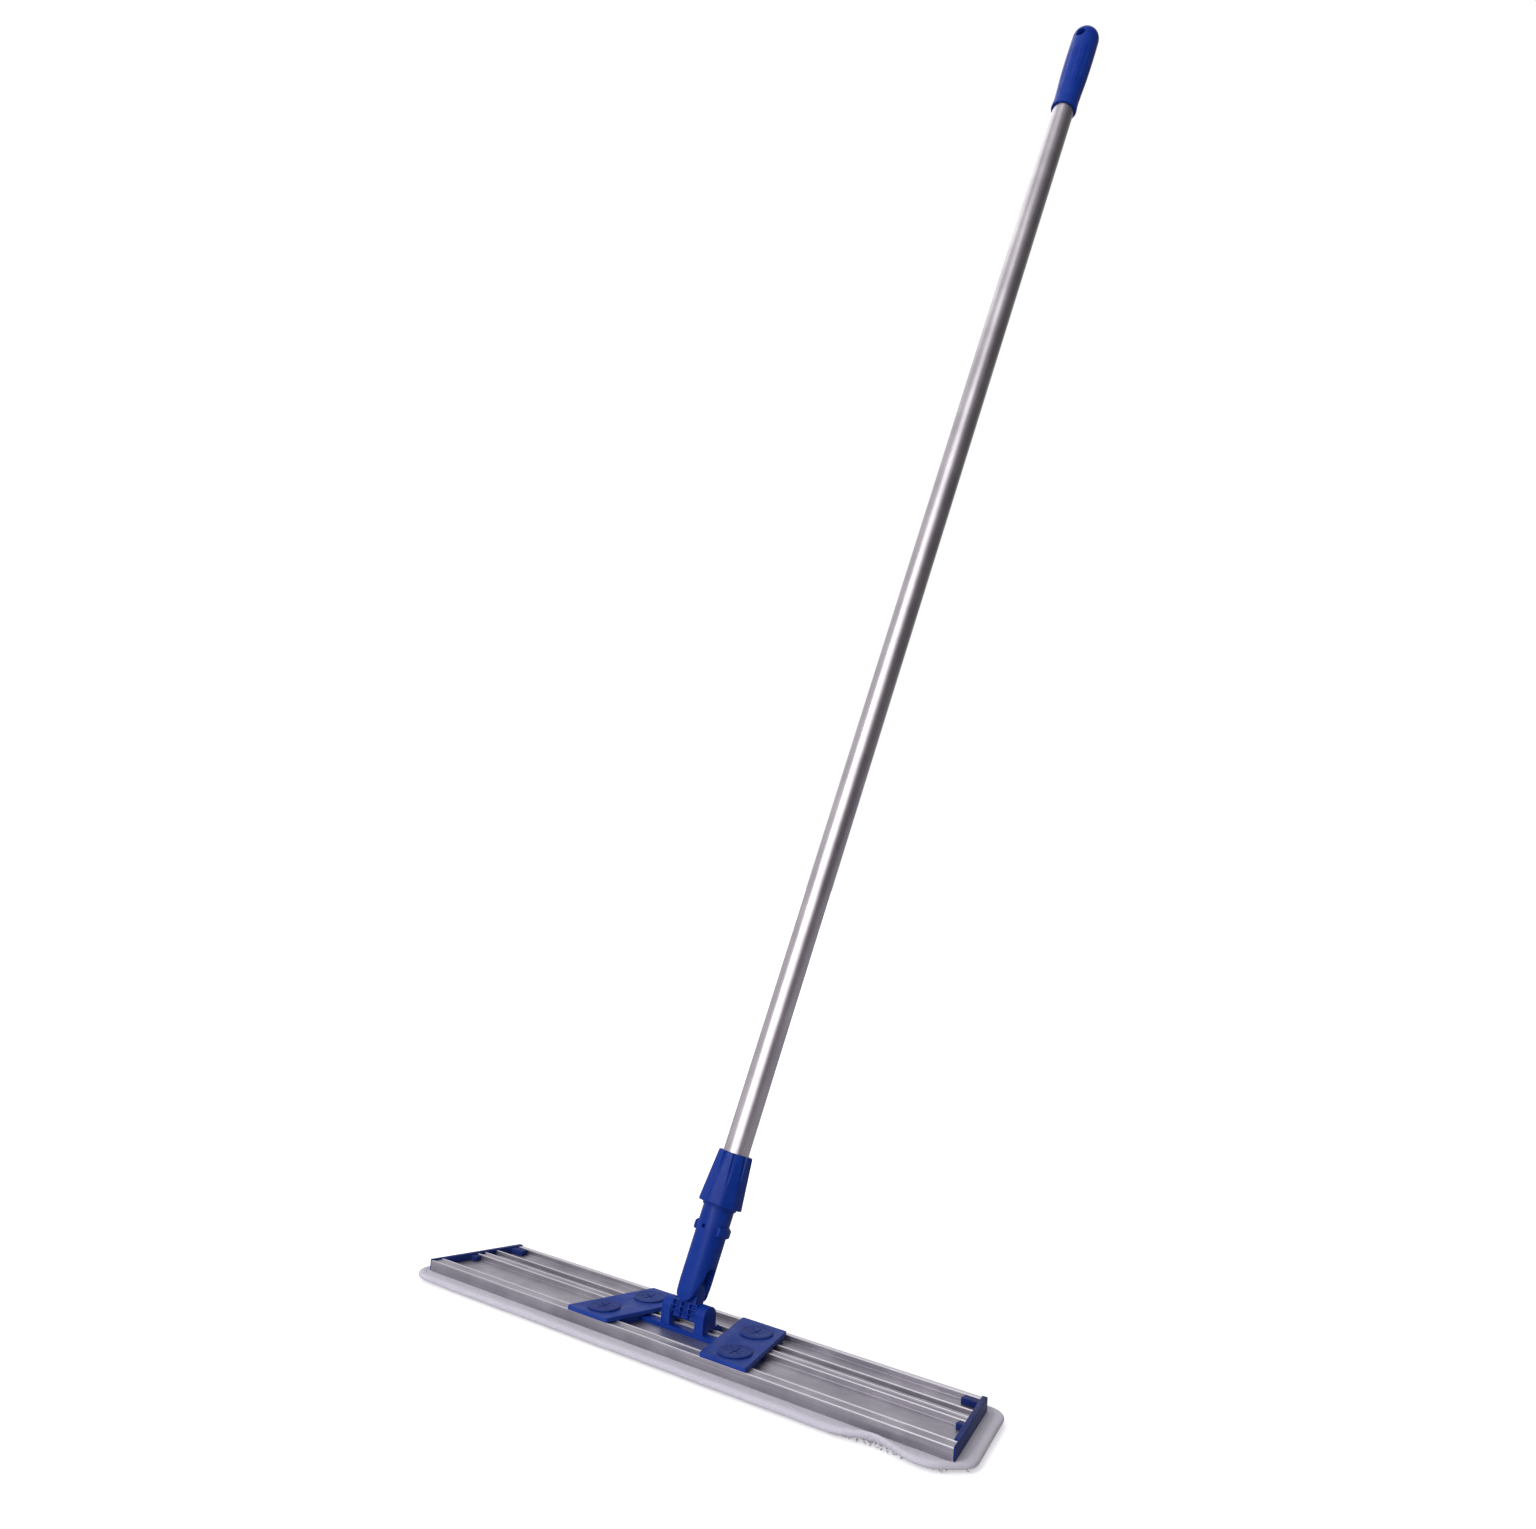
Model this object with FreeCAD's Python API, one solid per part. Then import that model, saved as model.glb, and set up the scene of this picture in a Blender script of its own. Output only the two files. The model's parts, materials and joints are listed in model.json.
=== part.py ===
import FreeCAD, Part
import math
import os

os.makedirs("parts", exist_ok=True)

# A flat mop.  Millimetres, +Z up.  The origin is on the floor under the middle of the frame.
# +X runs along the frame, -Y is the front (the longer edge), +Y is the rear.
V = FreeCAD.Vector
X, Y, Z = V(1, 0, 0), V(0, 1, 0), V(0, 0, 1)

# ---- driving dimensions -------------------------------------------------------------------
FRAME_LENGTH = 600.0      # front edge of the frame, end caps included
FRAME_WIDTH = 102.0       # front to rear
END_TAPER = 23.0          # each end is this much shorter at the rear edge
PAD_MARGIN = 14.5         # the pad stands out of the frame by this much all round
PAD_CORNER = 20.0
PAD_TOP = 8.0             # the frame stands on the pad here
FACE_TOP = 3.6            # top of the pile
CORE_TOP = 5.8            # top of the absorbent layer

RIDGE_TOP = 18.5          # top of every ridge of the extrusion
FLOOR = 13.0              # floor between the ridges
STRIP_TOP = 10.0          # hook tape fills the underside up to here
CAP_TOP = 19.5
CAP_THICK = 5.0
CAP_FLANGE = 1.6

PLATE_TOP = 22.5          # cloth plates lie on the ridges
PLATE_REAR, PLATE_FRONT = 44.0, -51.5
PLATE_WIDTH = 50.0
PLATE_REAR_X = 30.0       # inner corner of a plate at its rear edge
PLATE_FRONT_X = 54.5      # inner corner at its front edge
GRIPPER_R = 15.5
GRIPPERS = {"rear": (63.5, 19.5), "front": (77.0, -30.0)}

TILT_Z = 31.0             # height of the tilt axis, which runs along X
ARM = 21.5                # from the tilt axis up the block to the swing axis
TILT_DEG = 16.0           # the handle leans to the rear by this much at rest
SWING_DEG = 6.0           # and to the right by this much
EAR_X, EAR_THICK, EAR_R = 19.7, 10.0, 9.2
EAR_FRONT, EAR_REAR = -9.6, 9.2
BLOCK_X, BLOCK_Y, BLOCK_TOP = 14.3, 8.6, 7.6
TONGUE_R, TONGUE_Y = 9.8, 6.1
PIN_R = 3.0
FIT = 0.05                # radial play of a pin or a shaft in its bore

FORK_R = 15.0
LOBE_R = 10.0
LOBE_DROP = 3.4            # the round end of a lobe is centred this far below its pin
SLOT_Y = 6.4              # half of the fork's slot
SLOT_TOP = 20.0
FORK_TOP = 72.0
SPIGOT_R, SPIGOT_BORE_R, SPIGOT_END = 12.0, 10.0, 29.0
FLANGE_R, FLANGE_TOP = 16.4, 74.0
BUTTON_T, BUTTON_H, BUTTON_Y, BUTTON_R = 52.7, 9.4, 9.0, 17.7
NUT_BOTTOM, NUT_TOP = 74.6, 123.0
NUT_R_BOTTOM, NUT_R_TOP = 22.0, 17.4
NUT_FLUTES = 10
THREAD_R, THREAD_CREST_R, THREAD_PITCH = 14.8, 15.7, 2.5
COLLET_START, COLLET_TOP, COLLET_FINGERS = 97.0, 116.0, 6
TUBE_R, TUBE_WALL, TUBE_START, TUBE_END = 12.5, 0.8, 75.0, 1453.0
GRIP_START, GRIP_TOP, GRIP_R, GRIP_DOME_R = 1367.0, 1489.0, 16.2, 15.9
HANG_HOLE_R, HANG_HOLE_T = 4.5, 1472.0


# ---- small helpers ------------------------------------------------------------------------
def box(x0, x1, y0, y1, z0, z1):
    return Part.makeBox(x1 - x0, y1 - y0, z1 - z0, V(x0, y0, z0))


def rod(radius, start, end):
    """A cylinder from start to end."""
    run = end - start
    return Part.makeCylinder(radius, run.Length, start, run)


def prism(corners, run):
    """A flat polygon, pushed along run."""
    return Part.Face(Part.makePolygon(corners + corners[:1])).extrude(run)


def turned(outline):
    """A solid of revolution about Z; outline is a list of (radius, height)."""
    points = [V(r, 0, h) for r, h in outline]
    return Part.Face(Part.makePolygon(points + points[:1])).revolve(V(0, 0, 0), Z, 360)


def ring(outer, inner, z0, z1):
    return rod(outer, V(0, 0, z0), V(0, 0, z1)).cut(rod(inner, V(0, 0, z0 - 1), V(0, 0, z1 + 1)))


def union(shapes):
    return shapes[0].fuse(shapes[1:]).removeSplitter()


def mirrored(shape):
    """The same shape on the other side of the middle."""
    return shape.mirror(V(0, 0, 0), X)


def rounded_edges(shape, radius, chosen):
    """Fillet the edges that chosen(edge) picks."""
    edges = [e for e in shape.Edges if chosen(e)]
    return shape.makeFillet(radius, edges)


def end_x(y, inset=0.0):
    """Where the slanted end of the frame is at y, less an inset measured along X."""
    share = (y + FRAME_WIDTH / 2) / FRAME_WIDTH
    return FRAME_LENGTH / 2 - END_TAPER * share - inset


def trapezoid(margin, corner, z0, z1):
    """The frame's outline grown by margin, with round corners, between two heights."""
    half, slant = FRAME_WIDTH / 2, END_TAPER / FRAME_WIDTH
    reach = margin * math.hypot(1.0, slant)
    front = end_x(-half) + reach + slant * margin
    rear = end_x(half) + reach - slant * margin
    y = half + margin
    body = prism([V(-front, -y, z0), V(front, -y, z0), V(rear, y, z0), V(-rear, y, z0)], V(0, 0, z1 - z0))
    return rounded_edges(body, corner, lambda e: abs(e.tangentAt(e.FirstParameter).z) > 0.99)


BLOCK_PLACE = FreeCAD.Placement(V(0, 0, TILT_Z), FreeCAD.Rotation(X, -TILT_DEG))
HANDLE_PLACE = BLOCK_PLACE.multiply(FreeCAD.Placement(V(0, 0, ARM), FreeCAD.Rotation(Y, SWING_DEG)))


def on_block(shape):
    """From the block's own frame (origin on the tilt axis, Z up the block) to the mop's."""
    return placed(shape, BLOCK_PLACE)


def on_handle(shape):
    """From the handle's own frame (origin on the swing axis, Z up the handle) to the mop's."""
    return placed(shape, HANDLE_PLACE)


def placed(shape, place):
    moved = shape.copy()
    moved.Placement = place.multiply(moved.Placement)
    return moved


# ---- the frame ----------------------------------------------------------------------------
def frame_section():
    """Upper outline of the extrusion from rear to front as (y, z), then its underside."""
    half = FRAME_WIDTH / 2
    top = [(half, RIDGE_TOP), (46.0, RIDGE_TOP), (46.0, FLOOR),
           (21.5, FLOOR), (21.5, RIDGE_TOP), (19.8, RIDGE_TOP), (19.8, FLOOR + 0.5),
           (8.0, FLOOR + 0.5), (8.0, RIDGE_TOP), (6.5, RIDGE_TOP), (6.5, 17.0),
           (-0.2, 17.0), (-0.2, RIDGE_TOP), (-2.0, RIDGE_TOP), (-2.0, FLOOR),
           (-38.0, FLOOR), (-38.0, RIDGE_TOP), (-39.8, RIDGE_TOP), (-39.8, 17.6),
           (-49.4, 17.6), (-49.4, RIDGE_TOP), (-half, RIDGE_TOP)]
    under = [(-half, PAD_TOP), (-47.5, PAD_TOP), (-47.5, STRIP_TOP), (-4.0, STRIP_TOP), (-4.0, PAD_TOP),
             (4.0, PAD_TOP), (4.0, STRIP_TOP), (47.5, STRIP_TOP), (47.5, PAD_TOP), (half, PAD_TOP)]
    return top + under


RAIL_CHAMBER = (-49.2, -40.0, 11.6, 16.0)      # y0, y1, z0, z1 of the hollow front rail
RIVETS = [(-68.0, -6.4), (68.0, -6.4), (0.0, 13.9)]


def end_cutter(inset):
    """Everything outside the slanted end on the right, less an inset."""
    y = FRAME_WIDTH
    return prism([V(end_x(-y, inset), -y, 0), V(400, -y, 0), V(400, y, 0), V(end_x(y, inset), y, 0)],
                 V(0, 0, 40))


def frame_extrusion():
    reach = FRAME_LENGTH / 2
    corners = [V(-reach, y, z) for y, z in frame_section()]
    body = prism(corners, V(FRAME_LENGTH, 0, 0))
    y0, y1, z0, z1 = RAIL_CHAMBER
    body = body.cut(box(-reach, reach, y0, y1, z0, z1))
    for cutter in (end_cutter(CAP_FLANGE), mirrored(end_cutter(CAP_FLANGE))):
        body = body.cut(cutter)
    # the end caps' inner bars stand on the floors, so the ridges stop short of them
    bar = end_cutter(CAP_THICK).common(box(200, 400, RAIL_CHAMBER[1] + 2.0, 60, FLOOR, 30))
    body = body.cut(bar).cut(mirrored(bar))
    for x, y in RIVETS:
        body = body.cut(rod(2.0 + FIT, V(x, y, 5), V(x, y, 20)))
        body = body.cut(Part.makeCone(4.2, 2.0, 1.6, V(x, y, STRIP_TOP)))
    return body


def end_cap():
    """The right end cap: an outer flange, an inner bar on the floors, two lugs and a rail plug."""
    half = FRAME_WIDTH / 2
    skin = end_cutter(CAP_FLANGE - 0.02).cut(end_cutter(0.0))
    flange = skin.common(box(200, 400, -half, half, PAD_TOP + 0.2, CAP_TOP))
    bar = end_cutter(CAP_THICK - 0.02).cut(end_cutter(0.5))
    bar = bar.common(box(200, 400, RAIL_CHAMBER[1] + 2.0, half, FLOOR + 0.02, CAP_TOP))
    rear_lug = box(end_x(45.6) - 19.0, end_x(45.6) - 2.0, 37.5, 45.6, FLOOR + 0.02, 18.0)
    mid_lug = box(end_x(-3) - 11.0, end_x(-3) - 2.0, -8.6, -2.4, FLOOR + 0.02, 17.6)
    y0, y1, z0, z1 = RAIL_CHAMBER
    plug = box(end_x(y0) - 14.0, end_x(y1) - 1.0, y0 + 0.1, y1 - 0.1, z0 + 0.1, z1 - 0.1)
    return union([flange, bar, rear_lug, mid_lug, plug])


def hook_strip(y0, y1):
    return box(-262, 262, y0, y1, PAD_TOP, STRIP_TOP)


# ---- the cloth plates ---------------------------------------------------------------------
def plate_x(y):
    """Inner edge of the right plate at y."""
    share = (PLATE_REAR - y) / (PLATE_REAR - PLATE_FRONT)
    return PLATE_REAR_X + (PLATE_FRONT_X - PLATE_REAR_X) * share


def slanted_slab(x_from, x_to, y0, y1, z0, z1):
    """A slab along the plate's slant; x_from and x_to count from its inner edge."""
    corners = [V(plate_x(y0) + x_from, y0, z0), V(plate_x(y0) + x_to, y0, z0),
               V(plate_x(y1) + x_to, y1, z0), V(plate_x(y1) + x_from, y1, z0)]
    return prism(corners, V(0, 0, z1 - z0))


def cloth_plate():
    body = slanted_slab(0, PLATE_WIDTH, PLATE_FRONT, PLATE_REAR, RIDGE_TOP + 0.02, PLATE_TOP)
    body = rounded_edges(body, 2.0, lambda e: abs(e.tangentAt(e.FirstParameter).z) > 0.99)
    body = rounded_edges(body, 0.6, lambda e: all(v.Z > PLATE_TOP - 0.01 for v in e.Vertexes))
    feet = []
    for x in (3.0, PLATE_WIDTH - 6.0):
        feet.append(slanted_slab(x, x + 3.0, 22.5, 42.0, FLOOR + 0.02, RIDGE_TOP + 0.5))
        feet.append(slanted_slab(x, x + 3.0, -37.4, -12.5, FLOOR + 0.02, RIDGE_TOP + 0.5))
    body = union([body] + feet)
    for x, y in GRIPPERS.values():
        body = body.cut(rod(GRIPPER_R - 2.8, V(x, y, 10), V(x, y, 30)))
    return body


def gripper(x, y):
    """A soft disc with a six-pointed slit, held in a hole of the plate."""
    flange = Part.makeCone(GRIPPER_R, GRIPPER_R - 1.0, 1.7, V(x, y, PLATE_TOP + 0.02))
    plug = rod(GRIPPER_R - 2.85, V(x, y, RIDGE_TOP + 0.3), V(x, y, PLATE_TOP + 0.5))
    body = union([flange, plug]).cut(rod(GRIPPER_R - 5.0, V(x, y, 10), V(x, y, PLATE_TOP - 0.4)))
    slit = box(-8.5, 8.5, -0.45, 0.45, 10, 30)
    for turn in (30, 90, 150):
        cutter = slit.copy()
        cutter.Placement = FreeCAD.Placement(V(x, y, 0), FreeCAD.Rotation(Z, turn))
        body = body.cut(cutter)
    return body


# ---- the swivel ---------------------------------------------------------------------------
def swivel_base():
    outer = EAR_X + EAR_THICK / 2
    front_bar = box(-89, 89, -10.4, -2.3, FLOOR + 0.02, 17.0)
    rear_bar = box(-outer, outer, 8.3, 19.5, FLOOR + 0.52, 17.0)
    pieces = [front_bar, rear_bar]
    for side in (-1, 1):
        x0 = side * EAR_X - EAR_THICK / 2
        x1 = x0 + EAR_THICK
        pieces.append(box(x0, x1, EAR_FRONT, EAR_REAR, RIDGE_TOP + 0.1, TILT_Z))
        pieces.append(box(x0, x1, EAR_FRONT, -2.3, FLOOR + 0.02, RIDGE_TOP + 1))
        pieces.append(box(x0, x1, 8.3, 15.0, FLOOR + 0.52, RIDGE_TOP + 2.5))
        round_top = rod(EAR_R, V(x0, 0, TILT_Z), V(x1, 0, TILT_Z))
        pieces.append(round_top.common(box(x0, x1, EAR_FRONT, EAR_REAR, 0, 60)))
    body = union(pieces)
    # the pin goes in from the left: the right ear keeps a closed outer wall
    body = body.cut(rod(PIN_R + FIT, V(-40, 0, TILT_Z), V(EAR_X + 3.0, 0, TILT_Z)))
    for x, y in RIVETS:
        body = body.cut(rod(2.0 + FIT, V(x, y, 10), V(x, y, 20)))
    return body


def base_rivets():
    rivets = []
    for x, y in RIVETS:
        shank = rod(2.0, V(x, y, STRIP_TOP + 0.02), V(x, y, 17.5))
        foot = Part.makeCone(4.1, 2.0, 1.5, V(x, y, STRIP_TOP + 0.02))
        dome = Part.makeCone(3.8, 2.2, 1.2, V(x, y, 17.02))
        rivets.append(union([shank, foot, dome]))
    return Part.makeCompound(rivets)


def hinge_block():
    """Cross piece of the swivel: a ribbed barrel between the ears and a tongue in the fork."""
    barrel = rod(BLOCK_Y, V(-BLOCK_X, 0, 0), V(BLOCK_X, 0, 0))
    middle = box(-BLOCK_X, BLOCK_X, -BLOCK_Y, BLOCK_Y, 0, BLOCK_TOP)
    tongue = rod(TONGUE_R, V(0, -TONGUE_Y, ARM), V(0, TONGUE_Y, ARM))
    neck = box(-TONGUE_R, TONGUE_R, -TONGUE_Y, TONGUE_Y, 5, ARM)
    body = union([barrel, middle, tongue, neck])
    for side in (-1, 1):
        for column in (-9.4, 0.0, 9.4):
            for low, high in ((-7.0, -2.9), (-1.9, 1.9), (2.9, 6.6)):
                y = side * 6.9
                body = body.cut(box(column - 3.9, column + 3.9, y - 2.4, y + 2.4, low, high))
    body = body.cut(rod(PIN_R, V(-30, 0, 0), V(30, 0, 0)))
    return body.cut(rod(PIN_R, V(0, -20, ARM), V(0, 20, ARM)))


def tilt_pin():
    return rod(PIN_R, V(-EAR_X - 4.4, 0, 0), V(EAR_X + 2.6, 0, 0))


def swivel_pin():
    return rod(PIN_R, V(0, -11.4, ARM), V(0, 12.6, ARM))


def swivel_fork():
    """Fork and socket in the handle's own frame; the slot is open to both sides."""
    foot = -LOBE_R - LOBE_DROP
    blank = rod(FORK_R, V(0, 0, foot), V(0, 0, FORK_TOP))
    side_view = union([rod(LOBE_R, V(0, -20, -LOBE_DROP), V(0, 20, -LOBE_DROP)),
                       prism([V(-LOBE_R, -20, -LOBE_DROP), V(LOBE_R, -20, -LOBE_DROP), V(FORK_R, -20, 18),
                              V(FORK_R, -20, FORK_TOP), V(-FORK_R, -20, FORK_TOP), V(-FORK_R, -20, 18)],
                             V(0, 40, 0))])
    front_view = prism([V(-20, -13.0, foot), V(-20, 13.0, foot), V(-20, 13.4, 12), V(-20, FORK_R, 46),
                        V(-20, FORK_R, FORK_TOP), V(-20, -FORK_R, FORK_TOP), V(-20, -FORK_R, 46),
                        V(-20, -13.4, 12)], V(40, 0, 0))
    body = blank.common(side_view).common(front_view)
    slot = union([box(-20, 20, -SLOT_Y, SLOT_Y, -20, SLOT_TOP - SLOT_Y),
                  rod(SLOT_Y, V(-20, 0, SLOT_TOP - SLOT_Y), V(20, 0, SLOT_TOP - SLOT_Y))])
    body = body.cut(slot)
    body = body.cut(rod(SPIGOT_R + FIT, V(0, 0, SPIGOT_END - 0.5), V(0, 0, FORK_TOP + 1)))
    window_y, window_h = BUTTON_Y + 0.2, BUTTON_H / 2 + 0.2
    body = body.cut(box(-30, 30, -window_y, window_y, BUTTON_T - window_h, BUTTON_T + window_h))
    body = body.cut(rod(2.0, V(0, -30, BUTTON_T + 1), V(0, -SPIGOT_R + 1, BUTTON_T + 1)))
    # the pin goes in from the rear: the front lobe keeps a closed outer wall
    return body.cut(rod(PIN_R + FIT, V(0, -11.6, 0), V(0, 30, 0)))


def handle_adapter():
    """Spigot, flange, threaded neck and slotted collet, all one moulding."""
    body = turned([(SPIGOT_BORE_R, SPIGOT_END), (SPIGOT_R, SPIGOT_END), (SPIGOT_R, FORK_TOP + 0.02),
                   (FLANGE_R, FORK_TOP + 0.02), (FLANGE_R, FLANGE_TOP), (THREAD_R, FLANGE_TOP),
                   (THREAD_R, COLLET_START), (14.6, COLLET_START), (13.9, COLLET_TOP),
                   (TUBE_R + FIT, COLLET_TOP), (TUBE_R + FIT, TUBE_START - 0.02),
                   (SPIGOT_BORE_R, TUBE_START - 0.02)])
    ridges = []
    turns = int((COLLET_START - FLANGE_TOP - 3.0) / THREAD_PITCH)
    for number in range(turns):
        low = FLANGE_TOP + 1.6 + number * THREAD_PITCH
        ridges.append(turned([(THREAD_R - 0.3, low), (THREAD_CREST_R, low + 0.5),
                              (THREAD_CREST_R, low + 0.9), (THREAD_R - 0.3, low + 1.4)]))
    body = union([body] + ridges)
    window_y, window_h = BUTTON_Y + 0.2, BUTTON_H / 2 + 0.2
    body = body.cut(box(-30, 30, -window_y, window_y, BUTTON_T - window_h, BUTTON_T + window_h))
    for finger in range(COLLET_FINGERS // 2):
        slit = box(-20, 20, -0.8, 0.8, COLLET_START + 2, COLLET_TOP + 1)
        slit.Placement = FreeCAD.Placement(V(0, 0, 0), FreeCAD.Rotation(Z, finger * 360 / COLLET_FINGERS))
        body = body.cut(slit)
    return body


def release_button():
    """The right button: a wide lug that slides in towards the handle's axis."""
    low, high = BUTTON_T - BUTTON_H / 2, BUTTON_T + BUTTON_H / 2
    lug = box(7.4, 20, -BUTTON_Y, BUTTON_Y, low, high)
    lug = lug.common(turned([(0, low), (BUTTON_R - 1.2, low), (BUTTON_R, low + 1.2),
                             (BUTTON_R, high - 2.2), (BUTTON_R - 2.2, high), (0, high)]))
    lug = lug.cut(box(0, 9.4, -20, -3.2, 0, 100)).cut(box(0, 9.4, 3.2, 20, 0, 100))
    stop = box(7.4, 9.3, -3.2, 3.2, low - 2.2, high + 2.2)
    return union([lug, stop])


def button_spring():
    """A strip bent to a U, open downwards, whose legs push the buttons out."""
    low, high, bend = BUTTON_T - 12.0, BUTTON_T + 6.0, 7.35
    outer = union([box(-bend, bend, -3, 3, low, high), rod(bend, V(0, -3, high), V(0, 3, high))])
    inner = union([box(-bend + 0.6, bend - 0.6, -4, 4, low - 1, high),
                   rod(bend - 0.6, V(0, -4, high), V(0, 4, high))])
    return outer.cut(inner)


def clamp_ring():
    body = ring(14.5, TUBE_R + 0.3, COLLET_TOP + 0.4, 119.0)
    return body.cut(box(0, 20, -0.8, 0.8, 100, 130))


def clamp_nut():
    """Conical nut with ten flutes that deepen towards its narrow end."""
    body = turned([(0, NUT_BOTTOM), (NUT_R_BOTTOM - 0.8, NUT_BOTTOM), (NUT_R_BOTTOM, NUT_BOTTOM + 1.0),
                   (NUT_R_TOP, NUT_TOP - 0.8), (NUT_R_TOP - 0.8, NUT_TOP), (0, NUT_TOP)])
    # each flute's line starts outside the cone and is deepest at the top
    flute = rod(2.0, V(22.6, 0, 91.0), V(16.65, 0, NUT_TOP + 3.0))
    for number in range(NUT_FLUTES):
        turn = FreeCAD.Rotation(Z, (number + 0.5) * 360 / NUT_FLUTES)
        body = body.cut(placed(flute, FreeCAD.Placement(V(0, 0, 0), turn)))
    bore = turned([(0, NUT_BOTTOM - 1), (THREAD_CREST_R + 0.3, NUT_BOTTOM - 1),
                   (THREAD_CREST_R + 0.3, COLLET_START + 1), (15.0, COLLET_START + 2), (15.0, 119.3),
                   (TUBE_R + 0.35, 119.3), (TUBE_R + 0.35, NUT_TOP + 1), (0, NUT_TOP + 1)])
    return body.cut(bore)


def handle_tube():
    return ring(TUBE_R, TUBE_R - TUBE_WALL, TUBE_START, TUBE_END)


def grip():
    """End grip: slim rim and waist, a fuller upper half with shallow flutes, and a domed end."""
    shoulder = GRIP_TOP - GRIP_DOME_R
    side = [(0, 0), (14.2, 0), (15.0, 0.8), (15.0, 3), (14.4, 14), (15.2, 30), (16.0, 50), (GRIP_R, 80)]
    points = [V(r, 0, GRIP_START + rise) for r, rise in side] + [V(GRIP_DOME_R, 0, shoulder)]
    slope = GRIP_DOME_R * math.sqrt(0.5)
    dome = Part.Arc(points[-1], V(slope, 0, shoulder + slope), V(0, 0, GRIP_TOP)).toShape()
    wire = Part.Wire(Part.makePolygon(points).Edges + [dome, Part.makeLine(V(0, 0, GRIP_TOP), points[0])])
    body = Part.Face(wire).revolve(V(0, 0, 0), Z, 360)
    body = body.cut(rod(TUBE_R, V(0, 0, GRIP_START - 1), V(0, 0, TUBE_END + 0.5)))
    for number in range(10):
        spot = FreeCAD.Placement(V(0, 0, 0), FreeCAD.Rotation(Z, number * 36 + 18))
        flute = rod(3.0, V(18.3, 0, GRIP_START + 30), V(18.6, 0, GRIP_START + 84))
        body = body.cut(placed(flute, spot))
    return body.cut(rod(HANG_HOLE_R, V(0, -30, HANG_HOLE_T), V(0, 30, HANG_HOLE_T)))


# ---- the pad ------------------------------------------------------------------------------
def pad_layer(margin, corner, z0, z1):
    return trapezoid(margin, corner, z0, z1)


def pad_binding():
    outer = trapezoid(PAD_MARGIN, PAD_CORNER, FACE_TOP, PAD_TOP)
    outer = rounded_edges(outer, 1.9, lambda e: all(v.Z > PAD_TOP - 0.01 for v in e.Vertexes))
    return outer.cut(trapezoid(PAD_MARGIN - 4, PAD_CORNER - 4, FACE_TOP - 1, PAD_TOP + 1))


def parts():
    made = {
        "frame_extrusion": frame_extrusion(),
        "end_cap_right": end_cap(),
        "end_cap_left": mirrored(end_cap()),
        "hook_strip_front": hook_strip(-47.3, -4.2),
        "hook_strip_rear": hook_strip(4.2, 47.3),
        "cloth_plate_right": cloth_plate(),
        "cloth_plate_left": mirrored(cloth_plate()),
        "swivel_base": swivel_base(),
        "base_rivets": base_rivets(),
        "hinge_block": on_block(hinge_block()),
        "tilt_pin": on_block(tilt_pin()),
        "swivel_pin": on_block(swivel_pin()),
        "swivel_fork": on_handle(swivel_fork()),
        "handle_adapter": on_handle(handle_adapter()),
        "release_button_right": on_handle(release_button()),
        "release_button_left": on_handle(mirrored(release_button())),
        "button_spring": on_handle(button_spring()),
        "clamp_ring": on_handle(clamp_ring()),
        "clamp_nut": on_handle(clamp_nut()),
        "handle_tube": on_handle(handle_tube()),
        "grip": on_handle(grip()),
        "pad_face": pad_layer(PAD_MARGIN - 1, PAD_CORNER - 1, 0, FACE_TOP),
        "pad_core": pad_layer(PAD_MARGIN - 4, PAD_CORNER - 4, FACE_TOP, CORE_TOP),
        "pad_backing": pad_layer(PAD_MARGIN - 4, PAD_CORNER - 4, CORE_TOP, PAD_TOP),
        "pad_binding": pad_binding(),
    }
    for place, (x, y) in GRIPPERS.items():
        made["gripper_right_" + place] = gripper(x, y)
        made["gripper_left_" + place] = mirrored(gripper(x, y))
    return made


for name, shape in parts().items():
    good = shape.isValid() and len(shape.Solids) > 0
    print(name, "solids", len(shape.Solids), "valid", shape.isValid(), "volume cm3", round(shape.Volume / 1000, 2))
    if not good:
        raise SystemExit(name + " is not a valid solid")
    shape.exportStep("parts/" + name + ".step")
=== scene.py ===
# %% [markdown]
# # A flat mop for hotel floors
# The real mop is an aluminium extrusion that sits on a microfibre pad, with a plastic swivel in the middle
# and a long aluminium tube as its handle.  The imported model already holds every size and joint, so this
# file only adds looks.  It starts by loading that model and keeping its overall box.
# %%
import json
import math
import random
from contextlib import contextmanager
import bmesh
import bpy
import numpy as np
from mathutils import Matrix, Vector


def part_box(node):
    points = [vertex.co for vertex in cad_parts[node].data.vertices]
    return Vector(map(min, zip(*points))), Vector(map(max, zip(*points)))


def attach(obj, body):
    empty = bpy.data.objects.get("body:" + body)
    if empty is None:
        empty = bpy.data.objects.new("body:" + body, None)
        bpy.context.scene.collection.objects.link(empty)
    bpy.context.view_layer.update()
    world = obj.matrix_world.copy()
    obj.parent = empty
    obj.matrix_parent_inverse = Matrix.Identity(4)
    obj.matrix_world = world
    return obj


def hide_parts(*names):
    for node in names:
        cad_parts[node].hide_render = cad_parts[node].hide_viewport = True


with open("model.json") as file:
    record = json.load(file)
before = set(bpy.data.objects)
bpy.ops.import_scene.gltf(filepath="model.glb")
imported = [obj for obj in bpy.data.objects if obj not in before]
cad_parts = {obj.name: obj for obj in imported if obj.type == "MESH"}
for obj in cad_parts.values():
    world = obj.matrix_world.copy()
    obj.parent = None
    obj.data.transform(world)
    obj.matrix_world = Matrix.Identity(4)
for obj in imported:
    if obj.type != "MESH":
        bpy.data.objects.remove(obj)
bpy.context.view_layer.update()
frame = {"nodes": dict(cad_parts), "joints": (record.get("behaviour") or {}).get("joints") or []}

MM = 0.001
random.seed(7)
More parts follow.
